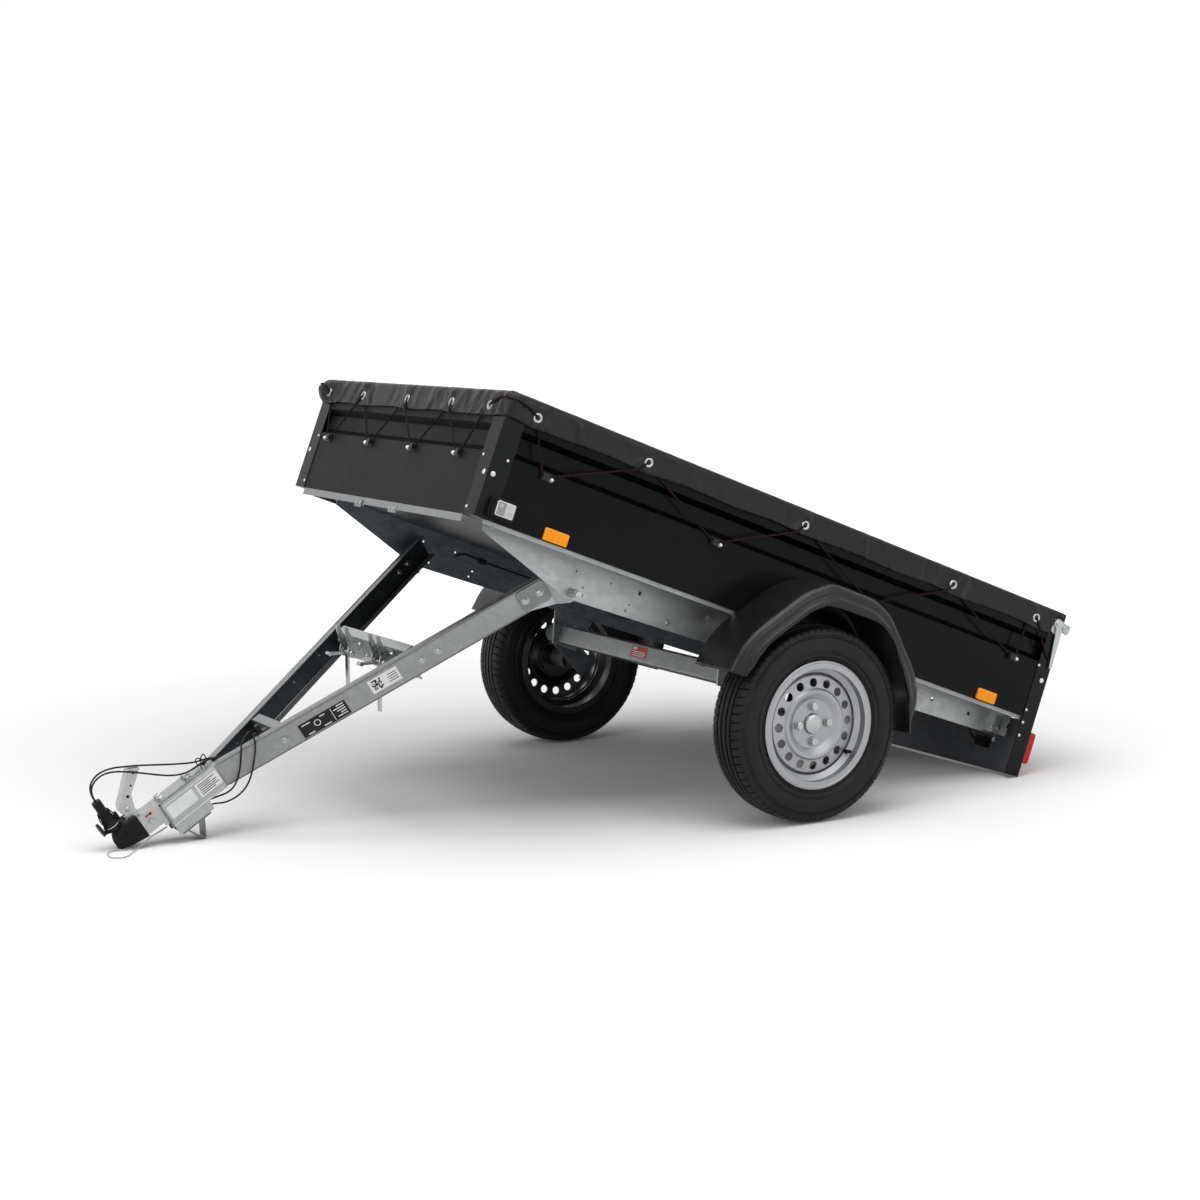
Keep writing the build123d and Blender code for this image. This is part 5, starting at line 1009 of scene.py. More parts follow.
def lace_front(shape):
    """The cord over the front wall; each stretch starts and ends in an eyelet or goes up under the hem."""
    under = cover_high.x - UNDER_HEM
    for hook_y, start, from_eyelet, end, to_eyelet in zip(
        FRONT_HOOKS, (-0.530, -0.290, FRONT_EYELETS[2], FRONT_EYELETS[3]), (False, False, True, True),
        (FRONT_EYELETS[1], -0.045, 0.243, 0.470), (True, False, False, False),
    ):
        points = [(under, start, HEM_LEVEL + 0.006)]
        if from_eyelet:
            points = out_of_eyelet("front", start, 0.002, 0.012)
        points += [(FRONT_FACE + BEHIND_CLAW, y, w) for y, w in round_hook(hook_y, 1)]
        if to_eyelet:
            points += out_of_eyelet("front", end, -0.003, -0.020)[::-1]
        else:
            points.append((under, end, HEM_LEVEL + 0.006))
        strand(shape, points)


def lace_corner(shape, side, sign, front):
    """The cord round a front corner, from the last eyelet of the front to the first of the side."""
    points = [skirt_point("front", front, EYELET_LEVEL, -0.006)]
    end = cover_high.y - COVER_CORNER
    for share in (0.06, 0.3, 0.6, 0.85, 1.0):
        along = sign * (abs(front) + (end - abs(front)) * share)
        points.append(skirt_point("front", along, EYELET_LEVEL + 0.022 * sin(share * pi / 2), LACING + 0.001))
    points.append(corner_point(side, EYELET_LEVEL + 0.023, LACING + 0.0015))
    start = cover_high.x - COVER_CORNER
    for share in (0.0, 0.25, 0.5, 0.75, 0.95):
        along = start + (SIDE_EYELETS[0] - start) * share
        points.append(skirt_point(side, along, EYELET_LEVEL + 0.022 * cos(share * pi / 2), LACING + 0.001))
    points.append(skirt_point(side, SIDE_EYELETS[0], EYELET_LEVEL, -0.006))
    strand(shape, points)


def lace_rear(shape):
    """The cord over the tailgate, from eyelet to eyelet round its hooks."""
    flap = cover_low.x - 0.009
    for hook_y, start, end in zip(REAR_HOOKS, REAR_EYELETS, REAR_EYELETS[1:]):
        points = [(flap + 0.010, start, EYELET_LEVEL), (flap, start + 0.002, EYELET_LEVEL),
                  (flap, start + 0.010, EYELET_LEVEL - 0.012)]
        points += [(GATE_FACE - BEHIND_CLAW, y, w) for y, w in round_hook(hook_y, 1)]
        points += [(flap, end - 0.010, EYELET_LEVEL - 0.012), (flap, end - 0.002, EYELET_LEVEL),
                   (flap + 0.010, end, EYELET_LEVEL)]
        strand(shape, points)


wall_rows = [
    ([(u, sign * WALL_FACE, HOOK_LEVEL) for u in SIDE_HOOKS], (1, 0, 0), (0, sign, 0)) for _, sign in SIDES
]
wall_rows.append(([(FRONT_FACE, y, HOOK_LEVEL) for y in FRONT_HOOKS], (0, 1, 0), (1, 0, 0)))
gate_rows = [([(GATE_FACE, y, HOOK_LEVEL) for y in REAR_HOOKS], (0, -1, 0), (-1, 0, 0))]
make_hooks("lacing_hooks", "hook_screws", "bed", wall_rows)
make_hooks("tailgate_hooks", "tailgate_hook_screws", "tailgate", gate_rows)
lacing, rear_lacing = Shape(), Shape()
lace_side(lacing, "near", 1)
lace_side(lacing, "far", -1)
lace_front(lacing)
lace_corner(lacing, "near", 1, FRONT_EYELETS[-1])
lace_corner(lacing, "far", -1, FRONT_EYELETS[0])
lace_rear(rear_lacing)
lacing.piece("lacing", "lacing", "bed")
roll_up(rear_lacing.piece("lacing_rear", "lacing", "bed"))


# ---- rivets on the posts -------------------------------------------------------------------
POST_RIVETS = ((1.100, 0.401, 0.0042), (1.130, 0.355, 0.0075), (-0.876, 0.402, 0.0045),
               (-0.904, 0.360, 0.0080), (-0.879, 0.259, 0.0048), (-0.880, 0.219, 0.0048),
               (-0.881, 0.178, 0.0048))
FRONT_RIVETS = ((0.539, 0.401, 0.0042), (0.571, 0.355, 0.0075), (0.537, 0.257, 0.0048))


def make_rivets():
    shape = Shape()
    for _, sign in SIDES:
        for u, w, radius in POST_RIVETS:
            shape.rivet((u, sign * POST_FACE, w), (0, sign, 0), radius, 0.003)
        for y, w, radius in FRONT_RIVETS:
            shape.rivet((POST_FRONT, sign * y, w), (1, 0, 0), radius, 0.003)
    shape.piece("post_rivets", "screw_head", "bed")


make_rivets()


# ---- wheels --------------------------------------------------------------------------------
BLOCKS = 72  # tread blocks round the tyre
BLOCK_STEPS = (0.0, 0.05, 0.10, 0.37, 0.63, 0.90)  # shares of a block and of the cut before it
CUT_STEPS = BLOCK_STEPS[:2]
GROOVES = ((-0.030, 0.0035), (-0.010, 0.0040), (0.012, 0.0040), (0.031, 0.0035))
GROOVE_DEPTH = 0.0065
CUT_DEPTH = 0.0055
CUT_FROM = 0.034  # the cuts are in the outer ribs of the tread and on the shoulders
TYRE_HALF = 0.0725
BEAD_HALF = 0.046
BEAD_DROP = 0.100
TREAD_HALF = 0.056
TREAD_DROP = 0.005
TREAD_LEAN = 0.035
BOLT_CIRCLE = 0.050  # radius
# side wall from the shoulder to the bead: distance inboard of the widest part, and radius below the tread
SIDE_WALL = ((0.0120, 0.0075), (0.0082, 0.0120), (0.0062, 0.0175), (0.0050, 0.0230), (0.0056, 0.0240),
             (0.0030, 0.0255), (0.0032, 0.0285), (0.0050, 0.0295), (0.0018, 0.0330), (0.0008, 0.0420),
             (0.0, 0.0520), (0.0004, 0.0620), (0.0020, 0.0690), (0.0002, 0.0702), (0.0004, 0.0722),
             (0.0024, 0.0734), (0.0016, 0.0752), (0.0036, 0.0765), (0.0062, 0.0850), (0.0090, 0.0870),
             (0.0074, 0.0885), (0.0078, 0.0910), (0.0106, 0.0925), (0.0125, 0.0960))
tyre_radius = wheel.z


def tread_row():
    """Points across the tread: distance from the middle, and whether it is at the foot of a groove."""
    row = [(-TREAD_HALF, False), (-TREAD_HALF + 0.010, False)]
    for middle, half in GROOVES:
        row += [(middle - half, False), (middle - half + 0.001, True), (middle + half - 0.001, True),
                (middle + half, False)]
    return row + [(TREAD_HALF - 0.010, False), (TREAD_HALF, False)]


def tyre_section(in_cut):
    """Places across the tyre and their radii, at a block of the tread or in the cut between two."""
    wall = []
    for inboard, drop in SIDE_WALL:
        depth = CUT_DEPTH * 0.6 if in_cut and drop < 0.02 else 0.0
        wall.append((TYRE_HALF - inboard, tyre_radius - drop - depth))
    tread = []
    for across, in_groove in tread_row():
        crown = TREAD_DROP * (across / TREAD_HALF) ** 2
        depth = GROOVE_DEPTH if in_groove else CUT_DEPTH if in_cut and abs(across) > CUT_FROM else 0.0
        tread.append((across, tyre_radius - crown - depth))
    beads = [(BEAD_HALF, tyre_radius - BEAD_DROP), (-BEAD_HALF, tyre_radius - BEAD_DROP)]
    return [(-across, radius) for across, radius in wall[::-1]] + tread + wall + beads


def make_tyre(side, sign):
    in_cut, on_block = tyre_section(True), tyre_section(False)
    rings = []
    for block in range(BLOCKS):
        for share in BLOCK_STEPS:
            ring = []
            for across, radius in in_cut if share in CUT_STEPS else on_block:
                angle = 2 * pi * (block + share) / BLOCKS + TREAD_LEAN * across / TREAD_HALF
                x, z = wheel.x + radius * cos(angle), wheel.z + radius * sin(angle)
                ring.append((x, sign * (wheel.y + across), z))
            rings.append(ring)
    shape = Shape()
    shape.skin(rings, loop=True)
    tyre = shape.piece("tyre_treaded_" + side, "tyre", "wheel_" + side, smooth=32)
    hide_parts("tyre_" + side)


def make_wheel_details(side, sign):
    """Wheel bolts, cap, rolled lips of the rim, and valve."""
    metal, lips, black = Shape(), Shape(), Shape()
    out, centre = Vector((0, sign, 0)), Vector((wheel.x, 0, wheel.z))
    hub_face, rim_face = (max(abs(corner.y) for corner in span(node + side)) for node in ("hub_", "rim_"))
    for index in range(4):
        way = Matrix.Rotation(-pi / 2 * index, 3, "Y") @ Vector((1, 0, 0))
        at = centre + way * BOLT_CIRCLE + out * (hub_face - 0.0115)
        metal.lathe([(-0.004, 0.0135), (0.002, 0.0135), (0.0035, 0.0125)], at, out, 20)
        metal.lathe([(0.002, 0.0112), (0.0125, 0.0112), (0.0137, 0.0098)], at, out, 6, turn=0.3 + index)
    cap = [(-0.006, 0.0290), (0.005, 0.0290), (0.0085, 0.0270), (0.0105, 0.0225), (0.0118, 0.0120),
           (0.0121, 0.004)]
    metal.lathe(cap, centre + out * (hub_face - 0.012), out, 40)
    for radius, setback, thickness in ((0.1785, 0.0025, 0.0042), (0.1655, 0.0035, 0.0036)):
        lips.ring(centre + out * (rim_face - setback), out, radius, thickness, sides=96)
    way = Matrix.Rotation(radians(142), 3, "Y") @ Vector((1, 0, 0))
    valve = [(0, 0.0075), (0.010, 0.0062), (0.022, 0.0046), (0.024, 0.0052), (0.034, 0.0052), (0.036, 0.0040)]
    black.lathe(valve, centre + way * 0.151 + out * (wheel.y + 0.030), out * 0.034 - way * 0.010, 16)
    metal.piece("wheel_bolts_" + side, "zinc", "wheel_" + side)
    lips.piece("rim_lips_" + side, "rim", "wheel_" + side)
    black.piece("valve_" + side, "rubber", "wheel_" + side)


for wheel_side, wheel_sign in SIDES:
    make_tyre(wheel_side, wheel_sign)
    make_wheel_details(wheel_side, wheel_sign)


# ---- mudguards -----------------------------------------------------------------------------
GUARD_LINE = ((-0.316, 0.060), (-0.312, 0.170), (-0.268, 0.240), (-0.128, 0.365), (-0.060, 0.389),
              (0.098, 0.389), (0.180, 0.336), (0.302, 0.190), (0.334, 0.130), (0.346, 0.060))
GUARD_MOUTH = ((-0.2985, 0.060), (-0.288, 0.090), (-0.256, 0.168), (-0.160, 0.284), (-0.118, 0.318),
               (-0.066, 0.329), (0.082, 0.326), (0.124, 0.318), (0.160, 0.294), (0.268, 0.168),
               (0.286, 0.110), (0.310, 0.060))
GUARD_ROUND = 0.030
GUARD_SHOULDER = 0.022  # radius between crown and side
GUARD_SHOULDER_IN = 0.034  # where it starts, inboard of the side
GUARD_SHEET = 0.003


def soften(line):
    """A line of points with its corners rounded by short curves."""
    path = [Vector(line[0])]
    for start, here, end in corners(line, GUARD_ROUND, 0.45):
        for share in steps(0.0, 1.0, 6):
            path.append(start * (1 - share) ** 2 + here * 2 * share * (1 - share) + end * share**2)
    return path + [Vector(line[-1])]


def reach_along(line, centre, way):
    """Distance from a centre to a line of points in one direction."""
    best = 0.0
    for start, end in zip(line, line[1:]):
        along, off = end - start, start - centre
        cross = way.cross(along)
        if abs(cross) > 1e-9 and -1e-4 <= off.cross(way) / cross <= 1.0001:
            best = max(best, off.cross(along) / cross)
    return best


def guard_section(inner, outer):
    """Across the guard: distance from the middle plane, share of the way to the mouth, and drop."""
    start = outer - GUARD_SHOULDER_IN
    section = [(inner, 1.0, 0), (inner, 0.5, 0), (inner, 0.08, 0), (inner + 0.004, 0.0, 0)]
    section += [(inner + (start - inner) * share, 0.0, 0) for share in (0.25, 0.5, 0.75, 1.0)]
    for turn in steps(pi / 12, pi / 2, 6):
        section.append((start + GUARD_SHOULDER * sin(turn), 0.0, GUARD_SHOULDER * (1 - cos(turn))))
    for inboard, share, depth in (
        (0.0115, 0.0, 0.028), (0.0090, 0.0, 0.033), (0.0035, 0.0, 0.037), (0.0008, 0.0, 0.041),
        (0.0, 0.0, 0.046), (0.0, 0.92, 0), (0.0015, 0.985, 0), (0.005, 1.0, 0), (0.012, 1.0, 0),
    ):
        section.append((outer - inboard, share, depth))
    return section


def make_mudguard(side, sign):
    """A pressed guard: flange on the wall, crown, rounded shoulder, and a rolled lip at the mouth."""
    low, high = span("mudguard_" + side, BED)
    section = guard_section(*sorted((abs(low.y), abs(high.y))))
    outline, mouth, centre = soften(GUARD_LINE), soften(GUARD_MOUTH), Vector((0.0, low.z))
    shape = Shape()
    rows = []
    for angle in steps(0.0, pi, 141):
        way = Vector((cos(angle), sin(angle)))
        crown, edge = reach_along(outline, centre, way), reach_along(mouth, centre, way)
        row = []
        for across, share, depth in section:
            point = centre + way * max(crown + (edge - crown) * share - depth, edge)
            row.append((point.x, sign * across, point.y))
        rows.append(shape.row(row))
    for before, after in zip(rows, rows[1:]):
        for index in range(len(section) - 1):
            shape.mesh.faces.new((before[index], before[index + 1], after[index + 1], after[index]))
    bmesh.ops.remove_doubles(shape.mesh, verts=shape.mesh.verts, dist=0.0001)
    guard = shape.piece("mudguard_pressed_" + side, "guard", "bed", smooth=42)
    thicken(guard, GUARD_SHEET)
    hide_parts("mudguard_" + side)


for guard_side, guard_sign in SIDES:
    make_mudguard(guard_side, guard_sign)


# ---- lamps, reflectors and number plate ----------------------------------------------------
LAMP_AHEAD, LAMP_LEVEL = 1.079, 0.274
REFLECTORS = (0.893, -0.707)
REFLECTOR_FACE = 0.5940


def make_position_lamps():
    """Each lamp has a black housing and, set in its face, two lenses in a pale frame with a screw in each."""
    shapes = {finish: Shape() for finish in ("rubber", "plate", "lamp_white", "lamp_grey")}
    screws = Shape()
    u, w = LAMP_AHEAD, LAMP_LEVEL
    for _, sign in SIDES:
        for finish, depth, start, end, half, corner in (
            ("rubber", 0.012, -0.036, 0.036, 0.028, 0.008),
            ("rubber", 0.0310, -0.032, 0.032, 0.024, 0.006),
            ("plate", 0.0325, -0.028, 0.028, 0.020, 0.004),
            ("lamp_white", 0.0335, -0.0255, 0.0005, 0.0175, 0.003),
            ("lamp_grey", 0.0340, 0.0015, 0.0255, 0.0175, 0.003),
        ):
            across = (POST_FACE + 0.0003, POST_FACE + depth)
            shapes[finish].side_box(sign, (u + start, u + end), across, (w - half, w + half), corner)
        across, levels = (POST_FACE + 0.0330, POST_FACE + 0.0342), (w - 0.015, w + 0.015)
        for line in steps(u - 0.023, u - 0.003, 8):
            shapes["lamp_white"].side_box(sign, (line - 0.0007, line + 0.0007), across, levels)
        for end in (-1, 1):
            at = (u + end * 0.015, sign * (POST_FACE + 0.0335), w + end * 0.008)
            screws.ring(at, (0, sign, 0), 0.0052, 0.0010)
            screws.rivet(at, (0, sign, 0), 0.0030, 0.0010)
    for finish, shape in shapes.items():
        lamps = shape.piece("position_lamp_" + finish, finish, "bed", bevel=0.0012)
        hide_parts("position_lamps")
    screws.piece("position_lamp_zinc", "zinc", "bed")


def make_reflector_ribs():
    shape = Shape()
    across = (REFLECTOR_FACE, REFLECTOR_FACE + 0.0016)
    for _, sign in SIDES:
        for u in REFLECTORS:
            for rib in steps(u - 0.033, u + 0.033, 12):
                shape.side_box(sign, (rib - 0.0014, rib + 0.0014), across, (0.2425, 0.2695))
    shape.piece("reflector_ribs", "amber", "bed", bevel=0.0004)


def make_tail_lamp_details():
    """Turn signal segment, dividers and the screws of the rear lamps."""
    amber, dark, screws = Shape(), Shape(), Shape()
    for side, sign in SIDES:
        low, high = span("tail_lamp_" + side, BED)
        face, middle = low.x, (abs(low.y) + abs(high.y)) / 2
        across, levels = (middle + 0.012, middle + 0.047), (low.z + 0.006, high.z - 0.006)
        amber.side_box(sign, (face - 0.0015, face + 0.004), across, levels)
        for w in (low.z + 0.034, low.z + 0.064):
            across = (middle - 0.047, middle + 0.047)
            dark.side_box(sign, (face - 0.0018, face + 0.003), across, (w - 0.001, w + 0.001))
        for y in (middle - 0.036, middle + 0.004):
            screws.rivet((face, sign * y, low.z + 0.049), (-1, 0, 0), 0.004, 0.002)
    amber.piece("tail_lamp_signals", "amber", "bed", bevel=0.001)
    dark.piece("tail_lamp_dividers", "rubber", "bed")
    screws.piece("tail_lamp_screws", "zinc", "bed")


def make_plate_frame():
    """A frame with two screws round the number plate, which is left blank."""
    low, high = span("number_plate", BED)
    frame_shape, screws = Shape(), Shape()
    wide, lap = 0.006, 0.003
    for y0, y1, w0, w1 in (
        (low.y - wide, high.y + wide, low.z - wide, low.z + lap),
        (low.y - wide, high.y + wide, high.z - lap, high.z + wide),
        (low.y - wide, low.y + lap, low.z, high.z),
        (high.y - lap, high.y + wide, low.z, high.z),
    ):
        frame_shape.box((low.x - 0.0012, y0, w0), (low.x + 0.004, y1, w1))
    for y in (low.y + 0.06, high.y - 0.06):
        screws.rivet((low.x, y, (low.z + high.z) / 2), (-1, 0, 0), 0.0055, 0.003)
    frame_shape.piece("number_plate_frame", "rubber", "bed", bevel=0.001)
    screws.piece("number_plate_screws", "zinc", "bed")


make_position_lamps()
make_reflector_ribs()
make_tail_lamp_details()
make_plate_frame()


# ---- chassis details -----------------------------------------------------------------------
RAIL_WEB = 0.477  # outer face of the rails
RAIL_BRACKET = 0.499  # outer face of the brackets at their rear ends
RAIL_INSIDE = 0.4723  # middle of the cable clipped along the far rail
SLOT_LEVEL = 0.200  # square holes in the rails
SLOTS_AHEAD = (0.515, 0.275)
FLANGE_BOLTS = (1.036, 0.599, 0.541)
FLANGE_MIDDLE, FLANGE_BOTTOM = 0.500, 0.2345
BRACKET_RIVETS = ((-0.847, 0.181), (-0.866, 0.206), (-0.886, 0.206))
BRACKET_BOLTS = ((-0.870, 0.186), (-0.872, 0.146))
WEB_BOLTS = ((0.400, 0.150), (0.150, 0.205))
AXLE_BOLTS = (0.080, 0.130, 0.180)
AXLE_BRACKET = span("axle_bracket_left", BED)[1].y  # outer face
AXLE_FRONT = span("axle_tube", BED)[1].x
BAR_FACE = 1.1405
BAR_BRACKETS = (-0.115, 0.108)
BRACKET_FACE = BAR_FACE + 0.0075


def make_chassis_bolts():
    metal = Shape()
    for _, sign in SIDES:
        out = (0, sign, 0)
        for u in FLANGE_BOLTS:
            metal.bolt((u, sign * FLANGE_MIDDLE, FLANGE_BOTTOM), (0, 0, -1), 0.0085, 0.006, turn=0.4)
        for u, w in BRACKET_RIVETS:
            metal.rivet((u, sign * RAIL_BRACKET, w), out, 0.0055, 0.003)
        for face, places in ((RAIL_BRACKET, BRACKET_BOLTS), (RAIL_WEB, WEB_BOLTS)):
            for u, w in places:
                metal.bolt((u, sign * face, w), out, 0.0085, 0.006)
        for u in AXLE_BOLTS:
            metal.bolt((u, sign * AXLE_BRACKET, 0.115), out, 0.0080, 0.006)
    for y in BAR_BRACKETS:
        for off in (-0.011, 0.011):
            metal.bolt((BRACKET_FACE, y + off, 0.217), (1, 0, 0), 0.006, 0.0025, washer=False)
    metal.piece("chassis_bolts", "zinc", "bed")


def make_front_bar_brackets():
    brackets = Shape()
    for y in BAR_BRACKETS:
        brackets.box((BAR_FACE, y - 0.022, 0.206), (BRACKET_FACE, y + 0.022, 0.2285))
    brackets.piece("front_bar_brackets", "galvanised", "bed", bevel=0.0015)


def make_rail_wiring():
    """The cable inside the far rail, with a clip over each square hole that it passes."""
    wiring = Shape()
    line = ((0.612, 0.186), (0.600, 0.197), (0.580, 0.204), (0.545, 0.203), (0.515, 0.200), (0.275, 0.200),
            (0.235, 0.196), (0.205, 0.186))
    wiring.tube([(u, -RAIL_INSIDE, w) for u, w in line], 0.0032)
    for u in SLOTS_AHEAD:
        levels = (SLOT_LEVEL - 0.009, SLOT_LEVEL + 0.009)
        wiring.side_box(-1, (u - 0.013, u + 0.013), (RAIL_INSIDE - 0.005, RAIL_INSIDE + 0.004), levels)
    wiring.piece("rail_wiring", "cable", "bed", bevel=0.001)


def make_axle_sticker():
    """A red label with pale bars in place of print."""
    sticker, lines = Shape(), Shape()
    sticker.box((AXLE_FRONT, -0.036, 0.050), (AXLE_FRONT + 0.0004, 0.052, 0.084))
    for end, bottom, top in (
        (0.044, 0.054, 0.0565), (0.044, 0.060, 0.0625), (0.044, 0.066, 0.0685), (-0.006, 0.073, 0.080),
    ):
        lines.box((AXLE_FRONT + 0.0002, -0.028, bottom), (AXLE_FRONT + 0.0006, end, top))
    sticker.piece("axle_sticker", "sticker", "bed")
    lines.piece("axle_sticker_lines", "plate", "bed")


make_rail_wiring()
make_chassis_bolts()
make_front_bar_brackets()
make_axle_sticker()


# ---- drawbar details -----------------------------------------------------------------------
ARM_STRAIGHT = 0.993  # where the arms turn parallel
ARM_START = -0.030
ARM_FRONT_HALF = 0.035
ARM_SHEET = 0.003
CHANNEL_FACE = span("coupling_channel", DRAWBAR)[1].y
HEAD_TOP = 0.0806
HEAD_FACE = 0.029
LEVER_FACE = span("coupling_lever", DRAWBAR)[1].y
BEAM_FACE = span("latch_beam", DRAWBAR)[1].x
BEAM_BOLTS = (0.245, 0.228)
TIP_LATCH_OUT = 0.108  # middle of a tip latch
TIP_LATCH_FOOT = 0.4225  # front of the foot that it is bolted on by
TIP_LATCH_AXLE = (0.4583, 0.042)  # ahead and up
CHEEK_OUT = 0.034  # its cheeks and springs, from its own middle
SPRING_OUT = 0.018
ARM_BOLTS = ((0.3556, 0.036), (0.4016, 0.036), (0.8055, 0.034))
ARM_RIVETS = ((0.930, 0.058), (0.700, 0.064), (0.300, 0.010), (0.170, 0.062))
INNER_RIVETS = (0.5, 0.62, 0.80, 0.88)
PIVOT_BOLTS = (0.058, 0.100)
HEAD_BOLTS = (1.0665, 1.1588)
CHANNEL_RIVETS = ((1.075, 0.066), (1.110, 0.066), (1.150, -0.018), (1.085, -0.018))
LEVER_HOLES = ((1.181, 0.190, 0.0030), (1.205, 0.166, 0.0030), (1.228, 0.146, 0.0045))
INDICATOR = ((1.1920, "amber"), (1.2025, "lacing"), (1.2130, "sticker"))  # strips of the wear indicator
PIN_END = span("pivot_plate_left", DRAWBAR)[1].y
ARM_REAR_HALF = span("drawbar_arm_left", DRAWBAR)[1].y
ARM_SLOPE = (ARM_REAR_HALF - ARM_FRONT_HALF) / (ARM_STRAIGHT - ARM_START)
ARM_SPREAD = ARM_FRONT_HALF + ARM_SLOPE * ARM_STRAIGHT
ARM_TURN = atan(ARM_SLOPE)
SPRING_WIRE = 0.0013
COIL_TURNS = 4
PALE_PRINT = (0.0004, 0.0009)  # from and to how far it stands off its face
DARK_PRINT = (0.0002, 0.0006)


def arm_frame(sign):
    """Frame on an arm's outer face: along the drawbar, outward, up."""
    return DRAWBAR @ Matrix.Translation((0, sign * ARM_SPREAD, 0)) @ Matrix.Rotation(-sign * ARM_TURN, 4, "Z")


def on_arm(ahead):
    """Distance along the arm's outer face for a distance ahead of the pin."""
    return ahead / cos(ARM_TURN)


def make_arm_details(side, sign):
    """Bolts and rivets on both faces of an arm, and its folded edges, which are darker than the arm as
    painted shade.
    """
    metal, folds = Shape(), Shape()
    out, back, inside = (0, sign, 0), (0, -sign, 0), -sign * ARM_SHEET
    for ahead, level in ARM_BOLTS:
        metal.bolt((on_arm(ahead), 0, level), out, 0.0095, 0.007, turn=ahead * 9)
    for ahead in PIVOT_BOLTS:
        metal.bolt((on_arm(ahead), sign * 0.0043, 0.036), out, 0.0090, 0.0065, turn=ahead * 5)
        metal.bolt((on_arm(ahead), inside, 0.036), back, 0.0085, 0.006, turn=ahead * 7)
    for ahead, level in ARM_RIVETS:
        metal.rivet((on_arm(ahead), 0, level), out, 0.0032, 0.0022)
    for ahead in INNER_RIVETS:
        metal.rivet((on_arm(ahead), inside, 0.040), back, 0.0032, 0.0022)
    # painted shade: the rounded folds take a darker zinc than the arm
    for level in (0.0025, 0.0695):
        folds.tube([(-0.028, -sign * 0.0034, level), (on_arm(0.985), -sign * 0.0034, level)], 0.0040, 12)
    metal.piece("arm_bolts_" + side, "bolt_head", "drawbar", arm_frame(sign))
    folds.piece("arm_folds_" + side, "steel_fold_painted_shade", "drawbar", arm_frame(sign))


def bar(shape, start, width, level, height, depth, face=0.0):
    """A thin bar in place of print, on a face that looks to the left."""
    shape.box((start, face + depth[0], level), (start + width, face + depth[1], level + height))


def make_data_plate(plate, white, low, high):
    """A dark plate with pale bars, a ring and a dividing line."""
    plate.box((low, 0, 0.006), (high, 0.0006, 0.050))
    bar(white, low + 0.046, 0.0015, 0.009, 0.038, PALE_PRINT)
    white.ring((low + 0.095, 0.0007, 0.030), (0, 1, 0), 0.0085, 0.0012, flat=0.3)
    for row, width in enumerate((0.030, 0.018, 0.026, 0.034, 0.022)):
        bar(white, low + 0.007, width, 0.013 + 0.0075 * row, 0.0028, PALE_PRINT)
    for start, width, level in (
        (0.060, 0.022, 0.010), (0.112, 0.020, 0.010), (0.112, 0.026, 0.041), (0.066, 0.016, 0.041),
    ):
        bar(white, low + start, width, level, 0.0028, PALE_PRINT)


def make_square_label(white, ink, low, high):
    """A white label with four bars and a field of random squares."""
    white.box((low, 0, 0.018), (high, 0.0004, 0.060))
    pattern = random.Random(5)
    cell = 0.0032
    for row in range(10):
        for column in range(10):
            if pattern.random() < 0.5:
                start = high - 0.006 - (column + 1) * cell
                bar(ink, start, cell, 0.023 + row * cell, cell, DARK_PRINT)
    for row in range(4):
        bar(ink, low + 0.006, 0.030 - 0.004 * (row % 2), 0.027 + row * 0.007, 0.0022, DARK_PRINT)


def make_labels():
    """Blank data plate and labels: bars and squares stand for print."""
    plate, white, ink = Shape(), Shape(), Shape()
    make_data_plate(plate, white, on_arm(0.624), on_arm(0.760))
    make_square_label(white, ink, on_arm(0.468), on_arm(0.552))
    plate.piece("data_plate", "print", "drawbar", arm_frame(1), bevel=0.0002)
    white.piece("label_faces", "plate", "drawbar", arm_frame(1))
    ink.piece("label_squares", "print", "drawbar", arm_frame(1))
    white, ink = Shape(), Shape()
    white.box((0.996, CHANNEL_FACE, 0.020), (1.068, CHANNEL_FACE + 0.0004, 0.062))
    for row, width in enumerate((0.046, 0.060, 0.052, 0.058, 0.040, 0.056)):
        bar(ink, 1.062 - width, width, 0.025 + 0.0058 * row, 0.0022, DARK_PRINT, CHANNEL_FACE)
    white.piece("channel_label", "plate", "drawbar")
    ink.piece("channel_label_lines", "print", "drawbar")


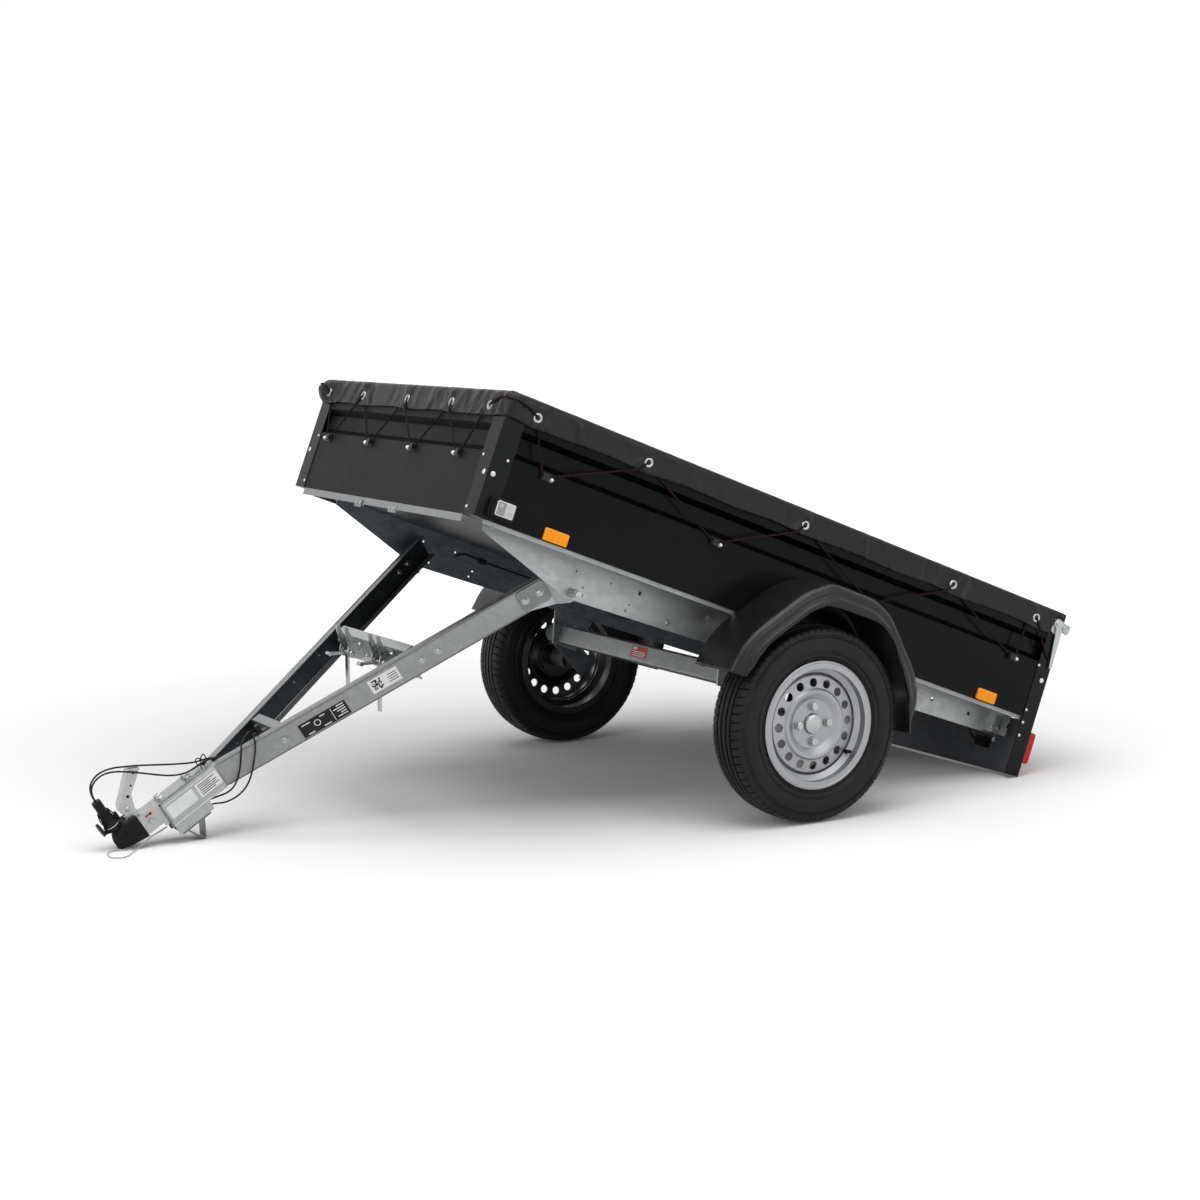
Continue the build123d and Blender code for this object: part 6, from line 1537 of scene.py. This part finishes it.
def make_coupling_details():
    """Bolts, side panels, dark discs as painted shade in the holes of the lever, and the strips of the wear
    indicator.
    """
    metal, panels, dark = Shape(), Shape(), Shape()
    strips = {"amber": Shape(), "sticker": Shape(), "lacing": Shape()}
    for ahead in HEAD_BOLTS:
        metal.bolt((ahead, 0.012, HEAD_TOP), (0, 0, 1), 0.0105, 0.008, turn=ahead * 3)
        metal.bolt((ahead, -0.012, HEAD_TOP), (0, 0, 1), 0.0105, 0.008, turn=ahead * 4)
    for _, sign in SIDES:
        out, face = (0, sign, 0), sign * CHANNEL_FACE
        metal.bolt((1.214, sign * HEAD_FACE, 0.052), out, 0.0085, 0.006)
        metal.rivet((1.247, sign * LEVER_FACE, 0.118), out, 0.007, 0.004)
        panels.side_box(sign, (1.078, 1.166), (CHANNEL_FACE, CHANNEL_FACE + 0.0011), (0.022, 0.061), 0.005)
        for level in (0.0685, 0.0045):
            panels.tube([(1.000, face, level), (1.170, face, level)], 0.0016)
        for ahead, level in CHANNEL_RIVETS:
            metal.rivet((ahead, face, level), out, 0.0040, 0.0022)
        # painted shade: a dark disc on each face of the lever stands for the shade in its hole
        for ahead, level, radius in LEVER_HOLES:
            dark.lathe([(-0.001, radius), (0.0003, radius)], (ahead, sign * LEVER_FACE, level), out, 16)
        for start, finish in INDICATOR:
            across = (HEAD_FACE, HEAD_FACE + 0.0006)
            strips[finish].side_box(sign, (start, start + 0.0095), across, (0.0700, 0.0755))
    metal.piece("coupling_bolts", "zinc", "drawbar")
    panels.piece("channel_panels", "steel_bright", "drawbar", bevel=0.0006)
    dark.piece("lever_hole_painted_shade", "rubber", "drawbar")
    for finish, strip in strips.items():
        strip.piece("indicator_" + finish, finish, "drawbar")


def coil(shape, start, end, radius, wire):
    """A coil spring between two points."""
    length = (end - start).length
    spin = (end - start).to_track_quat("Z", "Y")
    points = []
    for index in range(COIL_TURNS * 10 + 1):
        angle = 2 * pi * index / 10
        along = length * index / (COIL_TURNS * 10)
        points.append(start + spin @ Vector((radius * cos(angle), radius * sin(angle), along)))
    shape.tube(points, wire, 6)


def make_tip_latch_details():
    """Bolts and springs of the tipping latches, and the ends of the tipping pin."""
    metal, springs = Shape(), Shape()
    pin_end = [(-0.020, 0.0125), (0.010, 0.0125), (0.0115, 0.0110)]
    for _, sign in SIDES:
        centre = sign * TIP_LATCH_OUT
        for y in (centre - CHEEK_OUT, centre + CHEEK_OUT):
            for level in (0.010, 0.050):
                metal.bolt((TIP_LATCH_FOOT, y, level), (1, 0, 0), 0.0062, 0.0045, turn=y * 40)
        for way in (-1, 1):
            ahead, level = TIP_LATCH_AXLE
            metal.rivet((ahead, centre + way * CHEEK_OUT, level), (0, way, 0), 0.0085, 0.004)
            y = centre + way * SPRING_OUT
            start = Vector((ahead - 0.001, y - 0.006, level))
            coil(springs, start, start + Vector((0, 0.012, 0)), 0.0095, SPRING_WIRE)
            springs.tube([(0.449, y, 0.040), (0.434, y, 0.026), (0.4235, y, 0.024)], SPRING_WIRE, 6)
        for y in BEAM_BOLTS:
            metal.bolt((BEAM_FACE, sign * y, 0.036), (1, 0, 0), 0.0075, 0.005)
        metal.lathe(pin_end, (0, sign * PIN_END, 0), (0, sign, 0))
        metal.bolt((0, sign * (PIN_END + 0.0115), 0), (0, sign, 0), 0.0105, 0.009)
    metal.piece("tip_latch_bolts", "zinc", "drawbar")
    springs.piece("tip_latch_springs", "steel", "drawbar")


def make_plug_details():
    """Rings, ribs, collar and lid of the plug."""
    ribs, silver = Shape(), Shape()
    low, high = span("plug", DRAWBAR)
    at = (low.x + high.x) / 2
    for level in (0.121, 0.127, 0.133):
        ribs.ring((at, 0, level), (0, 0, 1), 0.0205, 0.0014)
    for index in range(16):
        way = Vector((cos(2 * pi * index / 16), sin(2 * pi * index / 16), 0))
        foot, top = Vector((at, 0, 0.1375)) + way * 0.0190, Vector((at, 0, 0.1500)) + way * 0.0160
        ribs.tube([foot, top], 0.0015, 6)
    for level in steps(0.156, 0.180, 6):
        ribs.ring((at, 0, level), (0, 0, 1), 0.0122, 0.0013)
    ribs.box((at - 0.0285, -0.007, 0.104), (at - 0.0215, 0.007, 0.128))
    silver.ring((at, 0, low.z + 0.0045), (0, 0, 1), 0.0242, 0.0012)
    ribs.piece("plug_ribs", "rubber", "drawbar", bevel=0.0004)
    silver.piece("plug_collar", "zinc", "drawbar")


def make_bow():
    """A tied bow where the cables pass the top of the channel."""
    cord = Shape()
    at = Vector((1.006, 0.006, 0.084))
    for lean in (0.5, -0.55):
        spin = Matrix.Rotation(-lean - pi / 2, 3, "Y")
        loop = []
        for turn in steps(0.0, 2 * pi, 17)[:-1]:
            point = Vector((0.013 * (1 - cos(turn)), 0.004 * sin(2 * turn), 0.0085 * sin(turn)))
            loop.append(at + spin @ point)
        cord.tube(loop, 0.0017, 6, loop=True)
    cord.tube([at, at + Vector((0.012, 0.010, 0.006)), at + Vector((0.016, 0.018, -0.004))], 0.0017, 6)
    cord.rivet(at - Vector((0, 0, 0.003)), (0, 0, 1), 0.0048, 0.0055)
    cord.piece("cable_ties", "cable", "drawbar")


for arm_side, arm_sign in SIDES:
    make_arm_details(arm_side, arm_sign)
make_labels()
make_coupling_details()
make_tip_latch_details()
make_plug_details()
make_bow()


# ---- tailgate latches ----------------------------------------------------------------------
STUD = Vector((-0.935, 0, 0.533))
LATCH_PIVOT = Vector((-0.895, 0, 0.543))
LATCH_FACE = span("gate_latch_left", BED)[1].y
LATCH_PLATE_FACE = span("latch_plates", BED)[1].y
LATCH_PLATE_AHEAD = -0.899
PLATE_RIVETS_OUT = 0.0185  # distance of its rivets from its middle


def round_stud(radius, turns):
    return [(STUD.x + radius * cos(turn), STUD.z + radius * sin(turn)) for turn in turns]


def make_gate_latch_details(side, sign):
    """Claw, pivot, spring and rivets of a lever, and rivets of the plate on the post."""
    metal, fixed = Shape(), Shape()
    out = Vector((0, sign, 0))
    seat, stud_seat = LATCH_PIVOT + out * (LATCH_FACE - 0.0045), STUD + out * (LATCH_FACE - 0.0040)
    metal.lathe([(-0.003, 0.0085), (0.001, 0.0085), (0.0035, 0.0070)], seat, out)
    metal.lathe([(0, 0.0095), (0.0022, 0.0095), (0.0030, 0.0085)], stud_seat, out)
    turns = steps(-0.6 * pi, 0.75 * pi, 15)
    claw = round_stud(0.0160, turns) + round_stud(0.0105, turns[::-1])
    metal.prism(claw, *sorted((sign * (LATCH_FACE - 0.0048), sign * (LATCH_FACE - 0.0008))))
    foot = LATCH_PIVOT + out * (LATCH_FACE - 0.0155) - Vector((0, 0, 0.004))
    coil(metal, foot, LATCH_PIVOT + out * (LATCH_FACE - 0.0080), 0.0075, 0.0011)
    for share in (0.3, 0.62, 0.92):
        at = Vector((-0.912 - 0.006 * share, 0, 0.520 - 0.105 * share))
        metal.rivet(at + out * (LATCH_FACE - 0.0046), out, 0.0035, 0.0015)
    for turn in steps(-0.85 * pi, 0.15 * pi, 4):
        u, w = LATCH_PLATE_AHEAD + PLATE_RIVETS_OUT * cos(turn), STUD.z + PLATE_RIVETS_OUT * sin(turn)
        fixed.rivet((u, sign * LATCH_PLATE_FACE, w), out, 0.0032, 0.0018)
    metal.piece("latch_claw_" + side, "zinc", "tailgate", bevel=0.0005)
    fixed.piece("latch_plate_rivets_" + side, "zinc", "bed")


for latch_side, latch_sign in SIDES:
    make_gate_latch_details(latch_side, latch_sign)
